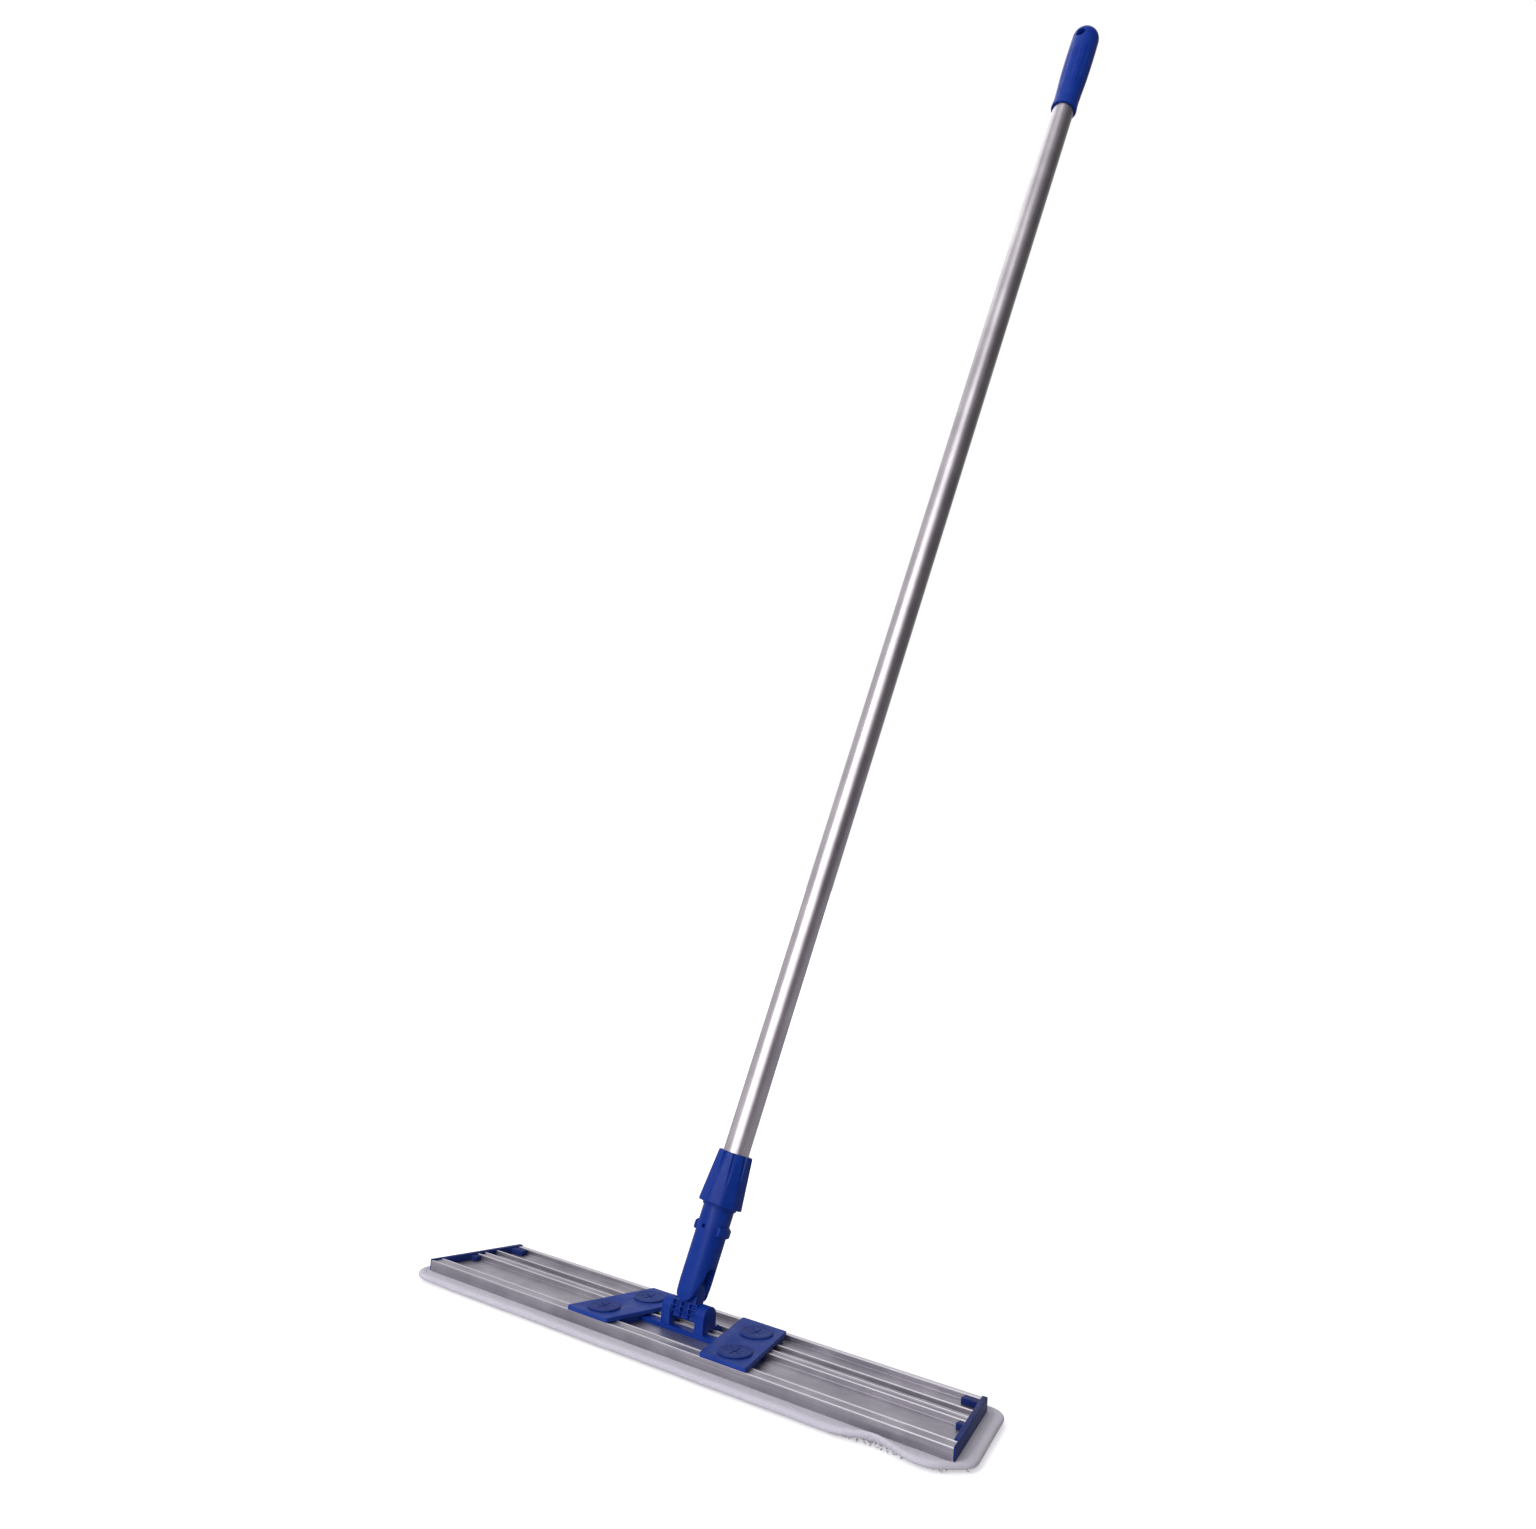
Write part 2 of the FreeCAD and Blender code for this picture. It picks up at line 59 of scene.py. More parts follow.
joints = {joint["name"]: joint for joint in frame["joints"]}


def frame_of(origin, along_x, along_y, along_z):
    """The matrix that takes a piece from its own upright frame to its place on the mop."""
    turn = Matrix((along_x, along_y, along_z)).transposed().to_4x4()
    return Matrix.Translation(origin) @ turn


handle_up = Vector(joints["nut_turn"]["axis"]).normalized()
swing_axis = Vector(joints["swing"]["axis"]).normalized()
HANDLE = frame_of(Vector(joints["swing"]["pos_m"]), swing_axis.cross(handle_up), swing_axis, handle_up)
print("handle leans", round(math.degrees(handle_up.angle(Vector((0, 0, 1)))), 1), "degrees from upright")

# %% [markdown]
# A shader or geometry tree reads better when each node is one line, so add_node makes a node, sets its
# options and fills its inputs.  An input may be a plain value or another node's output.
# %% Node helper and colours
def fill(tree, node, inputs):
    """Set a node's inputs, or link them when the value is another node's output."""
    for name, value in inputs.items():
        if isinstance(value, bpy.types.NodeSocket):
            tree.links.new(value, node.inputs[name])
        else:
            node.inputs[name].default_value = value


def add_node(tree, kind, inputs=None, **settings):
    """One node of a tree, with its settings and its inputs."""
    node = tree.nodes.new(kind)
    for name, value in settings.items():
        setattr(node, name, value)
    fill(tree, node, inputs or {})
    return node


def colour(code):
    """An sRGB hex colour such as '2a4bb0' as the linear values that a shader takes."""
    parts = [int(code[i:i + 2], 16) / 255 for i in (0, 2, 4)]
    return [c / 12.92 if c <= 0.04045 else ((c + 0.055) / 1.055) ** 2.4 for c in parts] + [1.0]


def new_surface(name):
    """An empty material with its tree, its main shader and Object coordinates."""
    material = bpy.data.materials.new(name)
    material.use_nodes = True
    tree = material.node_tree
    tree.nodes.clear()
    shader = add_node(tree, "ShaderNodeBsdfPrincipled")
    add_node(tree, "ShaderNodeOutputMaterial", {"Surface": shader.outputs["BSDF"]})
    place = add_node(tree, "ShaderNodeTexCoord").outputs["Object"]
    return material, tree, shader, place


def maths(tree, operation, *values):
    """The result of one Math node."""
    return add_node(tree, "ShaderNodeMath", dict(enumerate(values)), operation=operation).outputs[0]


def vector_maths(tree, operation, *values):
    """The result of one Vector Math node: a number for a length or a dot product, else a vector."""
    node = add_node(tree, "ShaderNodeVectorMath", dict(enumerate(values)), operation=operation)
    return node.outputs["Value" if operation in ("LENGTH", "DOT_PRODUCT") else "Vector"]


def mixed(tree, share, first, second):
    """A colour between two others."""
    mix = add_node(tree, "ShaderNodeMix", {0: share, 6: first, 7: second}, data_type="RGBA")
    return mix.outputs[2]


def graded(tree, value, low, high, to_low, to_high):
    """A number moved from one range to another and held inside it."""
    inputs = {0: value, 1: low, 2: high, 3: to_low, 4: to_high}
    return add_node(tree, "ShaderNodeMapRange", inputs).outputs[0]


def grain(tree, place, size_mm, stretch=(1, 1, 1), detail=2.0, roughness=0.5):
    """Noise whose blobs are size_mm across, stretched by so much along each axis."""
    scale = [1.0 / (size_mm * MM * s) for s in stretch]
    moved = add_node(tree, "ShaderNodeMapping", {"Vector": place, "Scale": scale}).outputs[0]
    inputs = {"Vector": moved, "Scale": 1.0, "Detail": detail, "Roughness": roughness}
    return add_node(tree, "ShaderNodeTexNoise", inputs).outputs["Fac"]


def bumped(tree, shader, height, depth_mm, strength=1.0):
    """Let a height pattern stand out of the surface by depth_mm."""
    inputs = {"Height": height, "Distance": depth_mm * MM, "Strength": strength}
    bump = add_node(tree, "ShaderNodeBump", inputs)
    tree.links.new(bump.outputs[0], shader.inputs["Normal"])


# %% [markdown]
# ## Moulded plastic
# The swivel, nut, caps and grip are polypropylene, injection moulded in a spark-eroded tool.  That leaves a
# very fine, even grain, a soft low gloss and edges that scuff paler where they rub.  The grain is drawn
# about twice its real size so that it shows.
# %% Moulded polypropylene
def moulded_polypropylene(name, body_hex, scuff_hex, roughness):
    """Grained plastic with a slow change of tone, and paler scuffs where an edge stands out."""
    material, tree, shader, place = new_surface(name)
    flow = grain(tree, place, 22.0, detail=3.0)
    tone = mixed(tree, graded(tree, flow, 0.35, 0.65, 0.0, 0.35), colour(body_hex), colour(scuff_hex))
    edge = add_node(tree, "ShaderNodeNewGeometry").outputs["Pointiness"]
    worn = graded(tree, edge, 0.53, 0.62, 0.0, 0.35)
    patchy = maths(tree, "MULTIPLY", worn, grain(tree, place, 3.0))
    tone = mixed(tree, patchy, tone, colour(scuff_hex))
    rub = grain(tree, place, 9.0, detail=4.0)
    gloss = graded(tree, rub, 0.3, 0.7, roughness - 0.05, roughness + 0.08)
    fill(tree, shader, {"Base Color": tone, "Roughness": gloss, "IOR": 1.49, "Specular IOR Level": 0.14})
    bumped(tree, shader, grain(tree, place, 0.55, detail=1.0), 0.02, 0.35)
    return material


swivel_blue = moulded_polypropylene("swivel_blue_polypropylene", "082c84", "1a4294", 0.36)
plate_blue = moulded_polypropylene("plate_blue_polypropylene", "1d398b", "3a55a0", 0.48)
cap_blue = moulded_polypropylene("cap_navy_polypropylene", "10205c", "263c80", 0.42)
grip_blue = moulded_polypropylene("grip_blue_polypropylene", "0a2f8c", "234b9e", 0.38)
soft_blue = moulded_polypropylene("gripper_blue_rubber", "1e3278", "365094", 0.55)

# %% [markdown]
# ## Aluminium
# Both metals are aluminium, and both show lines along their length: the frame from the die that it was
# pressed through, the tube from being drawn and then anodised.  A noise stretched a few hundred times along
# the length gives those lines, and it drives the roughness more than the colour, as on real metal.
# %% Extruded and anodised aluminium
# Above this height the ridge tops get a painted highlight, a paler tone, and a slightly lower roughness.
RIDGE_HIGHLIGHT_AND_RUB_MM, RIDGE_PAINTED_HIGHLIGHT = (17.8, 18.4), "dedbe0"


def drawn_aluminium(name, light_hex, dark_hex, roughness, stretch, line_mm):
    """Bare aluminium; whatever lies above the ridge height, in millimetres, is painted a paler tone as a
    highlight and made a little smoother.
    """
    material, tree, shader, place = new_surface(name)
    lines = grain(tree, place, line_mm, stretch=stretch, detail=3.0, roughness=0.6)
    cloud = grain(tree, place, 35.0, detail=3.0)
    share = maths(tree, "MULTIPLY", lines, cloud)
    tone = mixed(tree, graded(tree, share, 0.15, 0.4, 0.0, 1.0), colour(dark_hex), colour(light_hex))
    height = add_node(tree, "ShaderNodeSeparateXYZ", {0: place}).outputs[2]
    # Painted highlight: the ridge tops are mixed towards a paler tone, and are also made smoother.
    highlight_and_rub = graded(tree, height, RIDGE_HIGHLIGHT_AND_RUB_MM[0] * MM, RIDGE_HIGHLIGHT_AND_RUB_MM[1] * MM, 0.0, 1.0)
    tone = mixed(tree, highlight_and_rub, tone, colour(RIDGE_PAINTED_HIGHLIGHT))
    gloss = graded(tree, lines, 0.25, 0.75, roughness - 0.06, roughness + 0.1)
    smoother = maths(tree, "MULTIPLY_ADD", highlight_and_rub, -0.1, gloss)
    fill(tree, shader, {"Base Color": tone, "Metallic": 1.0, "Roughness": smoother})
    bumped(tree, shader, lines, 0.02, 0.25)
    return material


frame_aluminium = drawn_aluminium("extruded_aluminium", "c2bfc5", "a29fa7", 0.42, (220, 1, 1), 0.7)
rivet_aluminium = drawn_aluminium("rivet_aluminium", "c9c9cb", "a9a9ac", 0.35, (1, 1, 1), 0.6)

# %% [markdown]
# The tube is silver anodised, and it was drawn through a die, so its lines run along the handle and not
# along X.  A Mapping node turns the pattern by the handle's own angles, and then the stretch is along the
# tube.
# %% Anodised tube
def anodised_metal():
    """Anodised aluminium whose draw lines follow the leaning handle."""
    material, tree, shader, place = new_surface("silver_anodised_aluminium")
    back = HANDLE.inverted()
    inputs = {"Vector": place, "Location": back.to_translation(), "Rotation": back.to_euler("XYZ")}
    upright = add_node(tree, "ShaderNodeMapping", inputs).outputs[0]
    lines = grain(tree, upright, 0.5, stretch=(1, 1, 260), detail=3.0, roughness=0.6)
    cloud = grain(tree, upright, 30.0, detail=3.0)
    share = maths(tree, "MULTIPLY", lines, cloud)
    tone = mixed(tree, graded(tree, share, 0.15, 0.4, 0.0, 1.0), colour("bab4b9"), colour("d0cbce"))
    gloss = graded(tree, lines, 0.25, 0.75, 0.24, 0.36)
    fill(tree, shader, {"Base Color": tone, "Metallic": 1.0, "Roughness": gloss})
    bumped(tree, shader, lines, 0.015, 0.2)
    return material


anodised_tube = anodised_metal()

# %% [markdown]
# ## Microfibre
# The pad's top is a brushed loop fabric, its edge is a folded woven tape and its face is a looped pile.
# Fabric scatters light between its fibres, so each one has a little sheen and a bump with a thread-sized
# pattern.  Threads in such a pad are spaced from 0.3 mm in the sewing to 0.9 mm in the fabric, and the
# pattern is drawn at that size.
# %% Fabrics of the pad
def woven_polyester(name, light_hex, dark_hex, thread_mm, depth_mm, fuzz):
    """Two crossing sets of threads, bent a little, under short fibres and a soft sheen."""
    material, tree, shader, place = new_surface(name)
    wobble = add_node(tree, "ShaderNodeTexNoise", {"Vector": place, "Scale": 160.0, "Detail": 2.0})
    inputs = {0: wobble.outputs["Color"], "Scale": 0.0016}
    drift = add_node(tree, "ShaderNodeVectorMath", inputs, operation="SCALE").outputs[0]
    bent = vector_maths(tree, "ADD", place, drift)
    threads = []
    for axis in ("X", "Y"):
        wave = add_node(tree, "ShaderNodeTexWave", {"Vector": bent, "Scale": 0.314 / (thread_mm * MM)},
                        wave_type="BANDS", bands_direction=axis, wave_profile="SIN")
        threads.append(wave.outputs["Fac"])
    weave = maths(tree, "MULTIPLY", *threads)
    fibres = grain(tree, place, 0.5, detail=4.0, roughness=0.7)
    height = maths(tree, "ADD", weave, fibres)
    blotch = grain(tree, place, 28.0, detail=4.0)
    # Painted shade between the threads: where the weave lies low the colour goes darker, where it stands high
    # it goes lighter.
    tone = mixed(tree, graded(tree, height, 0.5, 1.3, 0.0, 0.8), colour(dark_hex), colour(light_hex))
    tone = mixed(tree, graded(tree, blotch, 0.35, 0.7, 0.0, 0.3), tone, colour(dark_hex))
    fill(tree, shader, {"Base Color": tone, "Roughness": 0.92, "Sheen Weight": fuzz, "Sheen Roughness": 0.5})
    bumped(tree, shader, height, depth_mm, 0.8)
    return material


loop_fabric = woven_polyester("brushed_loop_fabric", "dcdae0", "bdbac5", 0.9, 0.25, 0.4)
edge_tape = woven_polyester("woven_edge_tape", "dedce2", "c2bfca", 0.7, 0.2, 0.3)
pile_yarn = woven_polyester("microfibre_yarn", "e2e0e6", "c8c5d0", 0.5, 0.15, 0.5)
sewing_thread = woven_polyester("polyester_sewing_thread", "e8e6ec", "cfccd7", 0.3, 0.05, 0.3)

# %% [markdown]
# The parts that hardly show still get their own finish: ground steel for the two pins and the spring, white
# acetal for the clamp ring, and grey hook tape.
# %% Small hidden finishes
def plain_metal(name, light_hex, dark_hex, roughness):
    """Ground steel: even, with fine scratches that only change the gloss."""
    material, tree, shader, place = new_surface(name)
    scratches = grain(tree, place, 0.8, stretch=(12, 1, 1), detail=4.0, roughness=0.7)
    tone = mixed(tree, scratches, colour(dark_hex), colour(light_hex))
    gloss = graded(tree, scratches, 0.3, 0.7, roughness - 0.05, roughness + 0.1)
    fill(tree, shader, {"Base Color": tone, "Metallic": 1.0, "Roughness": gloss})
    return material


pin_steel = plain_metal("ground_steel", "c8c8ca", "97979b", 0.28)
ring_acetal = moulded_polypropylene("white_acetal", "dcdad4", "efeeea", 0.4)
hook_tape = woven_polyester("hook_tape", "9d9ca2", "7f7e85", 1.2, 0.3, 0.1)

# %% [markdown]
# ## Mesh helpers
# Most pieces here are a stack of rings: an outline repeated along a path, with faces between neighbours.
# A nut, a tube, a grip, a pad and an extrusion are all that.  Rings of equal length join index by index,
# which gives clean rows of quads, and a flat face closes each end.
# %% Rings to a closed mesh
def linked(name, data):
    """A new object of the scene."""
    thing = bpy.data.objects.new(name, data)
    bpy.context.scene.collection.objects.link(thing)
    return thing


@contextmanager
def mesh_work(piece):
    """Edit a piece's mesh, and write it back at the end."""
    work = bmesh.new()
    work.from_mesh(piece.data)
    yield work
    work.to_mesh(piece.data)
    work.free()


def new_piece(name, points, faces, material, crease_deg=35.0):
    """An object at the origin from points in metres, shaded smooth except over its creases."""
    mesh = bpy.data.meshes.new(name)
    mesh.from_pydata([tuple(p) for p in points], [], faces)
    mesh.materials.append(material)
    piece = linked(name, mesh)
    shade(piece, crease_deg)
    return piece


def shade(piece, crease_deg):
    """Outward faces, smooth shading, and sharp edges where the angle is large."""
    with mesh_work(piece) as work:
        bmesh.ops.recalc_face_normals(work, faces=work.faces)
    piece.data.shade_smooth()
    piece.data.set_sharp_from_angle(angle=math.radians(crease_deg))


def seamed(piece, reach, crease_deg):
    """Weld the points that lie within a reach of each other, and shade the piece again."""
    with mesh_work(piece) as work:
        bmesh.ops.remove_doubles(work, verts=work.verts, dist=reach)
    shade(piece, crease_deg)


def ringed(name, rings, material, place=None, crease_deg=35.0, ends=True):
    """A skin over rings, each an (n, 3) array in millimetres, with a flat face on each end if ends."""
    rings = np.asarray(rings, float)
    count, around = rings.shape[:2]
    points = rings.reshape(-1, 3) * MM
    if place is not None:
        points = [place @ Vector(p) for p in points]
    faces = []
    for i in range(count - 1):
        for j in range(around):
            k = (j + 1) % around
            faces.append((i * around + j, i * around + k, (i + 1) * around + k, (i + 1) * around + j))
    if ends:
        faces.append(tuple(range(around))[::-1])
        faces.append(tuple((count - 1) * around + j for j in range(around)))
    return new_piece(name, points, faces, material, crease_deg)


def turned(name, outline, material, place, around, crease_deg=35.0, ripple=None, ends=True):
    """Rings about Z from (radius, height) pairs; ripple(radius, height, angles) is taken off the radius."""
    angles = np.linspace(0, 2 * math.pi, around, endpoint=False)
    rings = []
    for radius, height in outline:
        reach = np.full(around, radius) - (ripple(radius, height, angles) if ripple else 0.0)
        across, deep = reach * np.cos(angles), reach * np.sin(angles)
        rings.append(np.stack([across, deep, np.full(around, height)], axis=1))
    return ringed(name, rings, material, place, crease_deg, ends)


# %% [markdown]
# Real moulded and extruded edges are never sharp: the tool itself has small radii.  rounded_outline turns
# every corner of a flat outline into a true arc, and softened does the same in space: it copies a CAD
# node's triangles, merges them to clean flat faces and bevels each real edge by a fraction of a millimetre.
# %% Rounded corners and softened edges
def rounded_outline(corners, radius, steps):
    """A closed flat outline whose corners are arcs, as an (n, 2) array."""
    points = []
    for i, corner in enumerate(corners):
        here = Vector(corner)
        back, on = Vector(corners[i - 1]) - here, Vector(corners[(i + 1) % len(corners)]) - here
        half = back.angle(on) / 2
        reach = min(radius / math.tan(half), 0.47 * back.length, 0.47 * on.length)
        start, end = here + back.normalized() * reach, here + on.normalized() * reach
        weight = math.sin(half)
        for step in range(steps + 1):
            t = step / steps
            parts = (1 - t) ** 2, 2 * weight * t * (1 - t), t * t
            points.append((start * parts[0] + here * parts[1] + end * parts[2]) / sum(parts))
    return np.array([tuple(p) for p in points])


def applied(piece):
    """Bake the piece's modifiers into its mesh."""
    graph = bpy.context.evaluated_depsgraph_get()
    graph.update()
    mesh = bpy.data.meshes.new_from_object(piece.evaluated_get(graph))
    piece.modifiers.clear()
    piece.data = mesh


WELD, FLAT_DEG, BEVEL_STEPS, BEVEL_FROM_DEG, BEVEL_CREASE_DEG = 2e-6, 0.6, 2, 28, 40.0


def softened(node, name, material, bevel_mm):
    """A copy of a CAD node with every hard edge rounded; it stands in for that node."""
    piece = linked(name, frame["nodes"][node].data.copy())
    piece.data.materials.clear()
    piece.data.materials.append(material)
    with mesh_work(piece) as work:
        bmesh.ops.remove_doubles(work, verts=work.verts, dist=WELD)
        flat = math.radians(FLAT_DEG)
        bmesh.ops.dissolve_limit(work, angle_limit=flat, verts=work.verts, edges=work.edges)
    bevel = piece.modifiers.new("edges", "BEVEL")
    bevel.width, bevel.segments, bevel.limit_method = bevel_mm * MM, BEVEL_STEPS, "ANGLE"
    bevel.angle_limit, bevel.miter_outer = math.radians(BEVEL_FROM_DEG), "MITER_ARC"
    bevel.harden_normals = False
    applied(piece)
    piece.data.shade_smooth()
    piece.data.set_sharp_from_angle(angle=math.radians(BEVEL_CREASE_DEG))
    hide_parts(node)
    return piece


def settle(piece, body):
    """Say which body a piece moves with, and print its count of faces."""
    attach(piece, body)
    print(piece.name, len(piece.data.polygons), "faces")


# %% [markdown]
# ## The floor, the light and the camera
# The studio is a pale seamless floor that runs out to white, one soft key from the front and one weak panel
# overhead.  Most of the light comes from the surroundings below.  A real product table is cut down with
# grey cards so that it doesn't light the product from below: here the floor glows only for the lens, and
# is a plain grey for every other ray.
# %% Studio
FLOOR_HALF, FLOOR_DROP = 30.0, 0.0004


def studio_floor():
    material, tree, shader, place = new_surface("studio_floor")
    seen = add_node(tree, "ShaderNodeLightPath").outputs["Is Camera Ray"]
    pale = mixed(tree, grain(tree, place, 900.0), colour("f4f4f5"), colour("fbfbfb"))
    tone = mixed(tree, seen, colour("bab8be"), pale)
    glow = graded(tree, vector_maths(tree, "LENGTH", place), 0.35, 3.0, 0.45, 0.95)
    fill(tree, shader, {"Base Color": tone, "Roughness": 0.9, "Emission Color": colour("ffffff"),
                        "Emission Strength": maths(tree, "MULTIPLY", glow, seen)})
    signs = ((-1, -1), (1, -1), (1, 1), (-1, 1))
    corners = [(x * FLOOR_HALF, y * FLOOR_HALF, -FLOOR_DROP) for x, y in signs]
    new_piece("studio_floor", corners, [(0, 1, 2, 3)], material)


def soft_light(name, place, target, size, watts):
    """A rectangular area light at a place, turned to face a target."""
    lamp = bpy.data.lights.new(name, "AREA")
    lamp.shape, lamp.size, lamp.size_y, lamp.energy = "RECTANGLE", size[0], size[1], watts
    rig = linked(name, lamp)
    rig.location = place
    rig.rotation_euler = (Vector(target) - Vector(place)).to_track_quat("-Z", "Y").to_euler()


studio_floor()
soft_light("key", (-0.2, -2.6, 1.9), (0.0, 0.0, 0.4), (0.9, 1.6), 22)
soft_light("overhead", (-0.8, 1.0, 2.9), (0.0, 0.0, 0.0), (2.4, 1.6), 10)

# %% [markdown]
# Metal shows whatever surrounds it, so a studio puts dark flags beside bright panels.  The world does the
# same for reflected light: a bright upright panel in front, grey on the left and a dark flag on the right.
# What the lens itself sees behind the mop is plain white.
# %% Surroundings
PANEL_TURN, PANEL_CORE, PANEL_EDGE = (math.radians(a) for a in (12, 20, 40))
DARK_FLAG = (0.95, 0.31, 0.0)


def studio_world():
    world = bpy.data.worlds.new("studio_world")
    world.use_nodes = True
    tree = world.node_tree
    tree.nodes.clear()
    heading = add_node(tree, "ShaderNodeTexCoord").outputs["Generated"]
    plain = graded(tree, vector_maths(tree, "DOT_PRODUCT", heading, DARK_FLAG), -0.2, 0.8, 0.78, 0.12)
    tall = vector_maths(tree, "MULTIPLY", heading, (1.0, 1.0, 0.55))
    level = vector_maths(tree, "NORMALIZE", tall)
    panel = (math.sin(PANEL_TURN), -math.cos(PANEL_TURN), 0.0)
    facing = vector_maths(tree, "DOT_PRODUCT", level, panel)
    bright = graded(tree, facing, math.cos(PANEL_EDGE), math.cos(PANEL_CORE), 0.0, 1.9)
    glow = maths(tree, "ADD", plain, bright)
    around = add_node(tree, "ShaderNodeBackground", {"Color": colour("f7f5fa"), "Strength": glow})
    white = add_node(tree, "ShaderNodeBackground", {"Color": colour("ffffff"), "Strength": 1.0})
    seen = add_node(tree, "ShaderNodeLightPath").outputs["Is Camera Ray"]
    both = add_node(tree, "ShaderNodeMixShader", {0: seen, 1: around.outputs[0], 2: white.outputs[0]})
    add_node(tree, "ShaderNodeOutputWorld", {"Surface": both.outputs[0]})
    bpy.context.scene.world = world


studio_world()
bpy.context.scene.view_settings.view_transform = "Standard"

# %% Camera
CAMERA_AZIMUTH, CAMERA_ELEVATION, CAMERA_ROLL = 36.07, -4.92, 3.73
CAMERA_PLACE = (0.7318, -0.9368, 0.4361)
LENS_MM, SENSOR_MM = 29.3, 36.0


def aim_camera():
    """A moderate wide lens, turned by azimuth, elevation and a small roll."""
    az, el, roll = (math.radians(a) for a in (CAMERA_AZIMUTH, CAMERA_ELEVATION, CAMERA_ROLL))
    ahead = Vector((-math.sin(az) * math.cos(el), math.cos(az) * math.cos(el), -math.sin(el)))
    right = ahead.cross(Vector((0, 0, 1))).normalized()
    up = right.cross(ahead)
    turned_right = right * math.cos(roll) + up * math.sin(roll)
    turned_up = up * math.cos(roll) - right * math.sin(roll)
    data = bpy.data.cameras.new("camera")
    data.lens, data.sensor_width, data.clip_end = LENS_MM, SENSOR_MM, 100.0
    camera = linked("camera", data)
    camera.matrix_world = frame_of(Vector(CAMERA_PLACE), turned_right, turned_up, -ahead)
    bpy.context.scene.camera = camera


aim_camera()

# %% [markdown]
# ## The aluminium frame
# The real frame is one extrusion: a die gives it a section of ridges, floors and a hollow front rail, and a
# saw cuts both ends on a slant.  A section swept in a straight line is exactly that, so the section is one
# outline with small die radii, and its two end rings are sheared by the slant.
# %% Extruded frame
FRAME_HALF, FRAME_REACH, END_TAPER, CAP_FLANGE = 51.0, 300.0, 23.0, 1.6
DIE_RADIUS = 0.7
SECTION = [(51.0, 18.5), (46.0, 18.5), (46.0, 13.0), (21.5, 13.0), (21.5, 18.5), (19.8, 18.5), (19.8, 13.5),
           (8.0, 13.5), (8.0, 18.5), (6.5, 18.5), (6.5, 17.0), (-0.2, 17.0), (-0.2, 18.5), (-2.0, 18.5),
           (-2.0, 13.0), (-38.0, 13.0), (-38.0, 18.5), (-39.8, 18.5), (-39.8, 17.6), (-49.4, 17.6),
           (-49.4, 18.5), (-51.0, 18.5), (-51.0, 8.0), (-47.5, 8.0), (-47.5, 10.0), (-4.0, 10.0), (-4.0, 8.0),
           (4.0, 8.0), (4.0, 10.0), (47.5, 10.0), (47.5, 8.0), (51.0, 8.0)]


def end_x(y, inset=0.0):
    """Where the slanted right end of the frame is at y."""
    return FRAME_REACH - END_TAPER * (y + FRAME_HALF) / (2 * FRAME_HALF) - inset


def extruded_frame():
    """The section between the two end caps, with its end rings sheared."""
    section = rounded_outline(SECTION, DIE_RADIUS, steps=4)
    rings = [[(side * end_x(y, CAP_FLANGE), y, z) for y, z in section] for side in (-1, 1)]
    piece = ringed("extruded_frame", rings, frame_aluminium, crease_deg=50)
    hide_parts("frame_extrusion")
    settle(piece, "head")


extruded_frame()
for side in ("left", "right"):
    cap = softened("end_cap_" + side, "navy_end_cap_" + side, cap_blue, 0.5)
    settle(cap, "head")

# %% [markdown]
# ## The cloth plates and their grippers
# Two raised plates hold a cloth that is wrapped round the frame: its corners are pushed through soft discs
# with a star of slits.  The plates are moulded, so they are the CAD plates with every edge rounded.  A disc
# is a shallow dish whose slits are narrow grooves.  Its rings run from under the rim, over it and in to the
# small pit in the middle, with extra points on both sides of each slit, so that the grooves stay crisp.
# %% Plates and gripper discs
GRIPPER_R, PLATE_TOP, SLITS = 15.5, 22.5, 6
SLIT_REACH, SLIT_DEPTH, SLIT_HALF, SLIT_FADE = 9.0, 1.9, 0.8, 2.0
SLIT_OFFSETS, SLIT_FILLERS = (-1.1, -0.55, -0.2, 0.0, 0.2, 0.55, 1.1), (0.2, 0.4, 0.6, 0.8)
SLIT_PITCH, SLIT_NARROW = math.radians(60), 0.6
DISH_R, DISH_TOP, DISH_DEPTH = 11.2, PLATE_TOP + 1.5, 0.5
DISH_RADII = (10.2, 9.2, 8.0, 6.5, 5.0, 3.6, 2.4, 1.7, 1.35)
DISC_PROFILE = [(14.3, PLATE_TOP - 0.3), (14.5, PLATE_TOP + 0.25), (GRIPPER_R - 0.15, PLATE_TOP + 0.55),
                (GRIPPER_R, PLATE_TOP + 0.8), (GRIPPER_R - 0.35, PLATE_TOP + 1.45),
                (GRIPPER_R - 1.1, PLATE_TOP + 1.75), (12.6, PLATE_TOP + 1.78), (11.9, DISH_TOP),
                (DISH_R, DISH_TOP)]
DISC_PROFILE += [(radius, DISH_TOP - DISH_DEPTH * (1 - radius / DISH_R)) for radius in DISH_RADII]
DISC_PROFILE += [(1.2, PLATE_TOP - 0.6)]


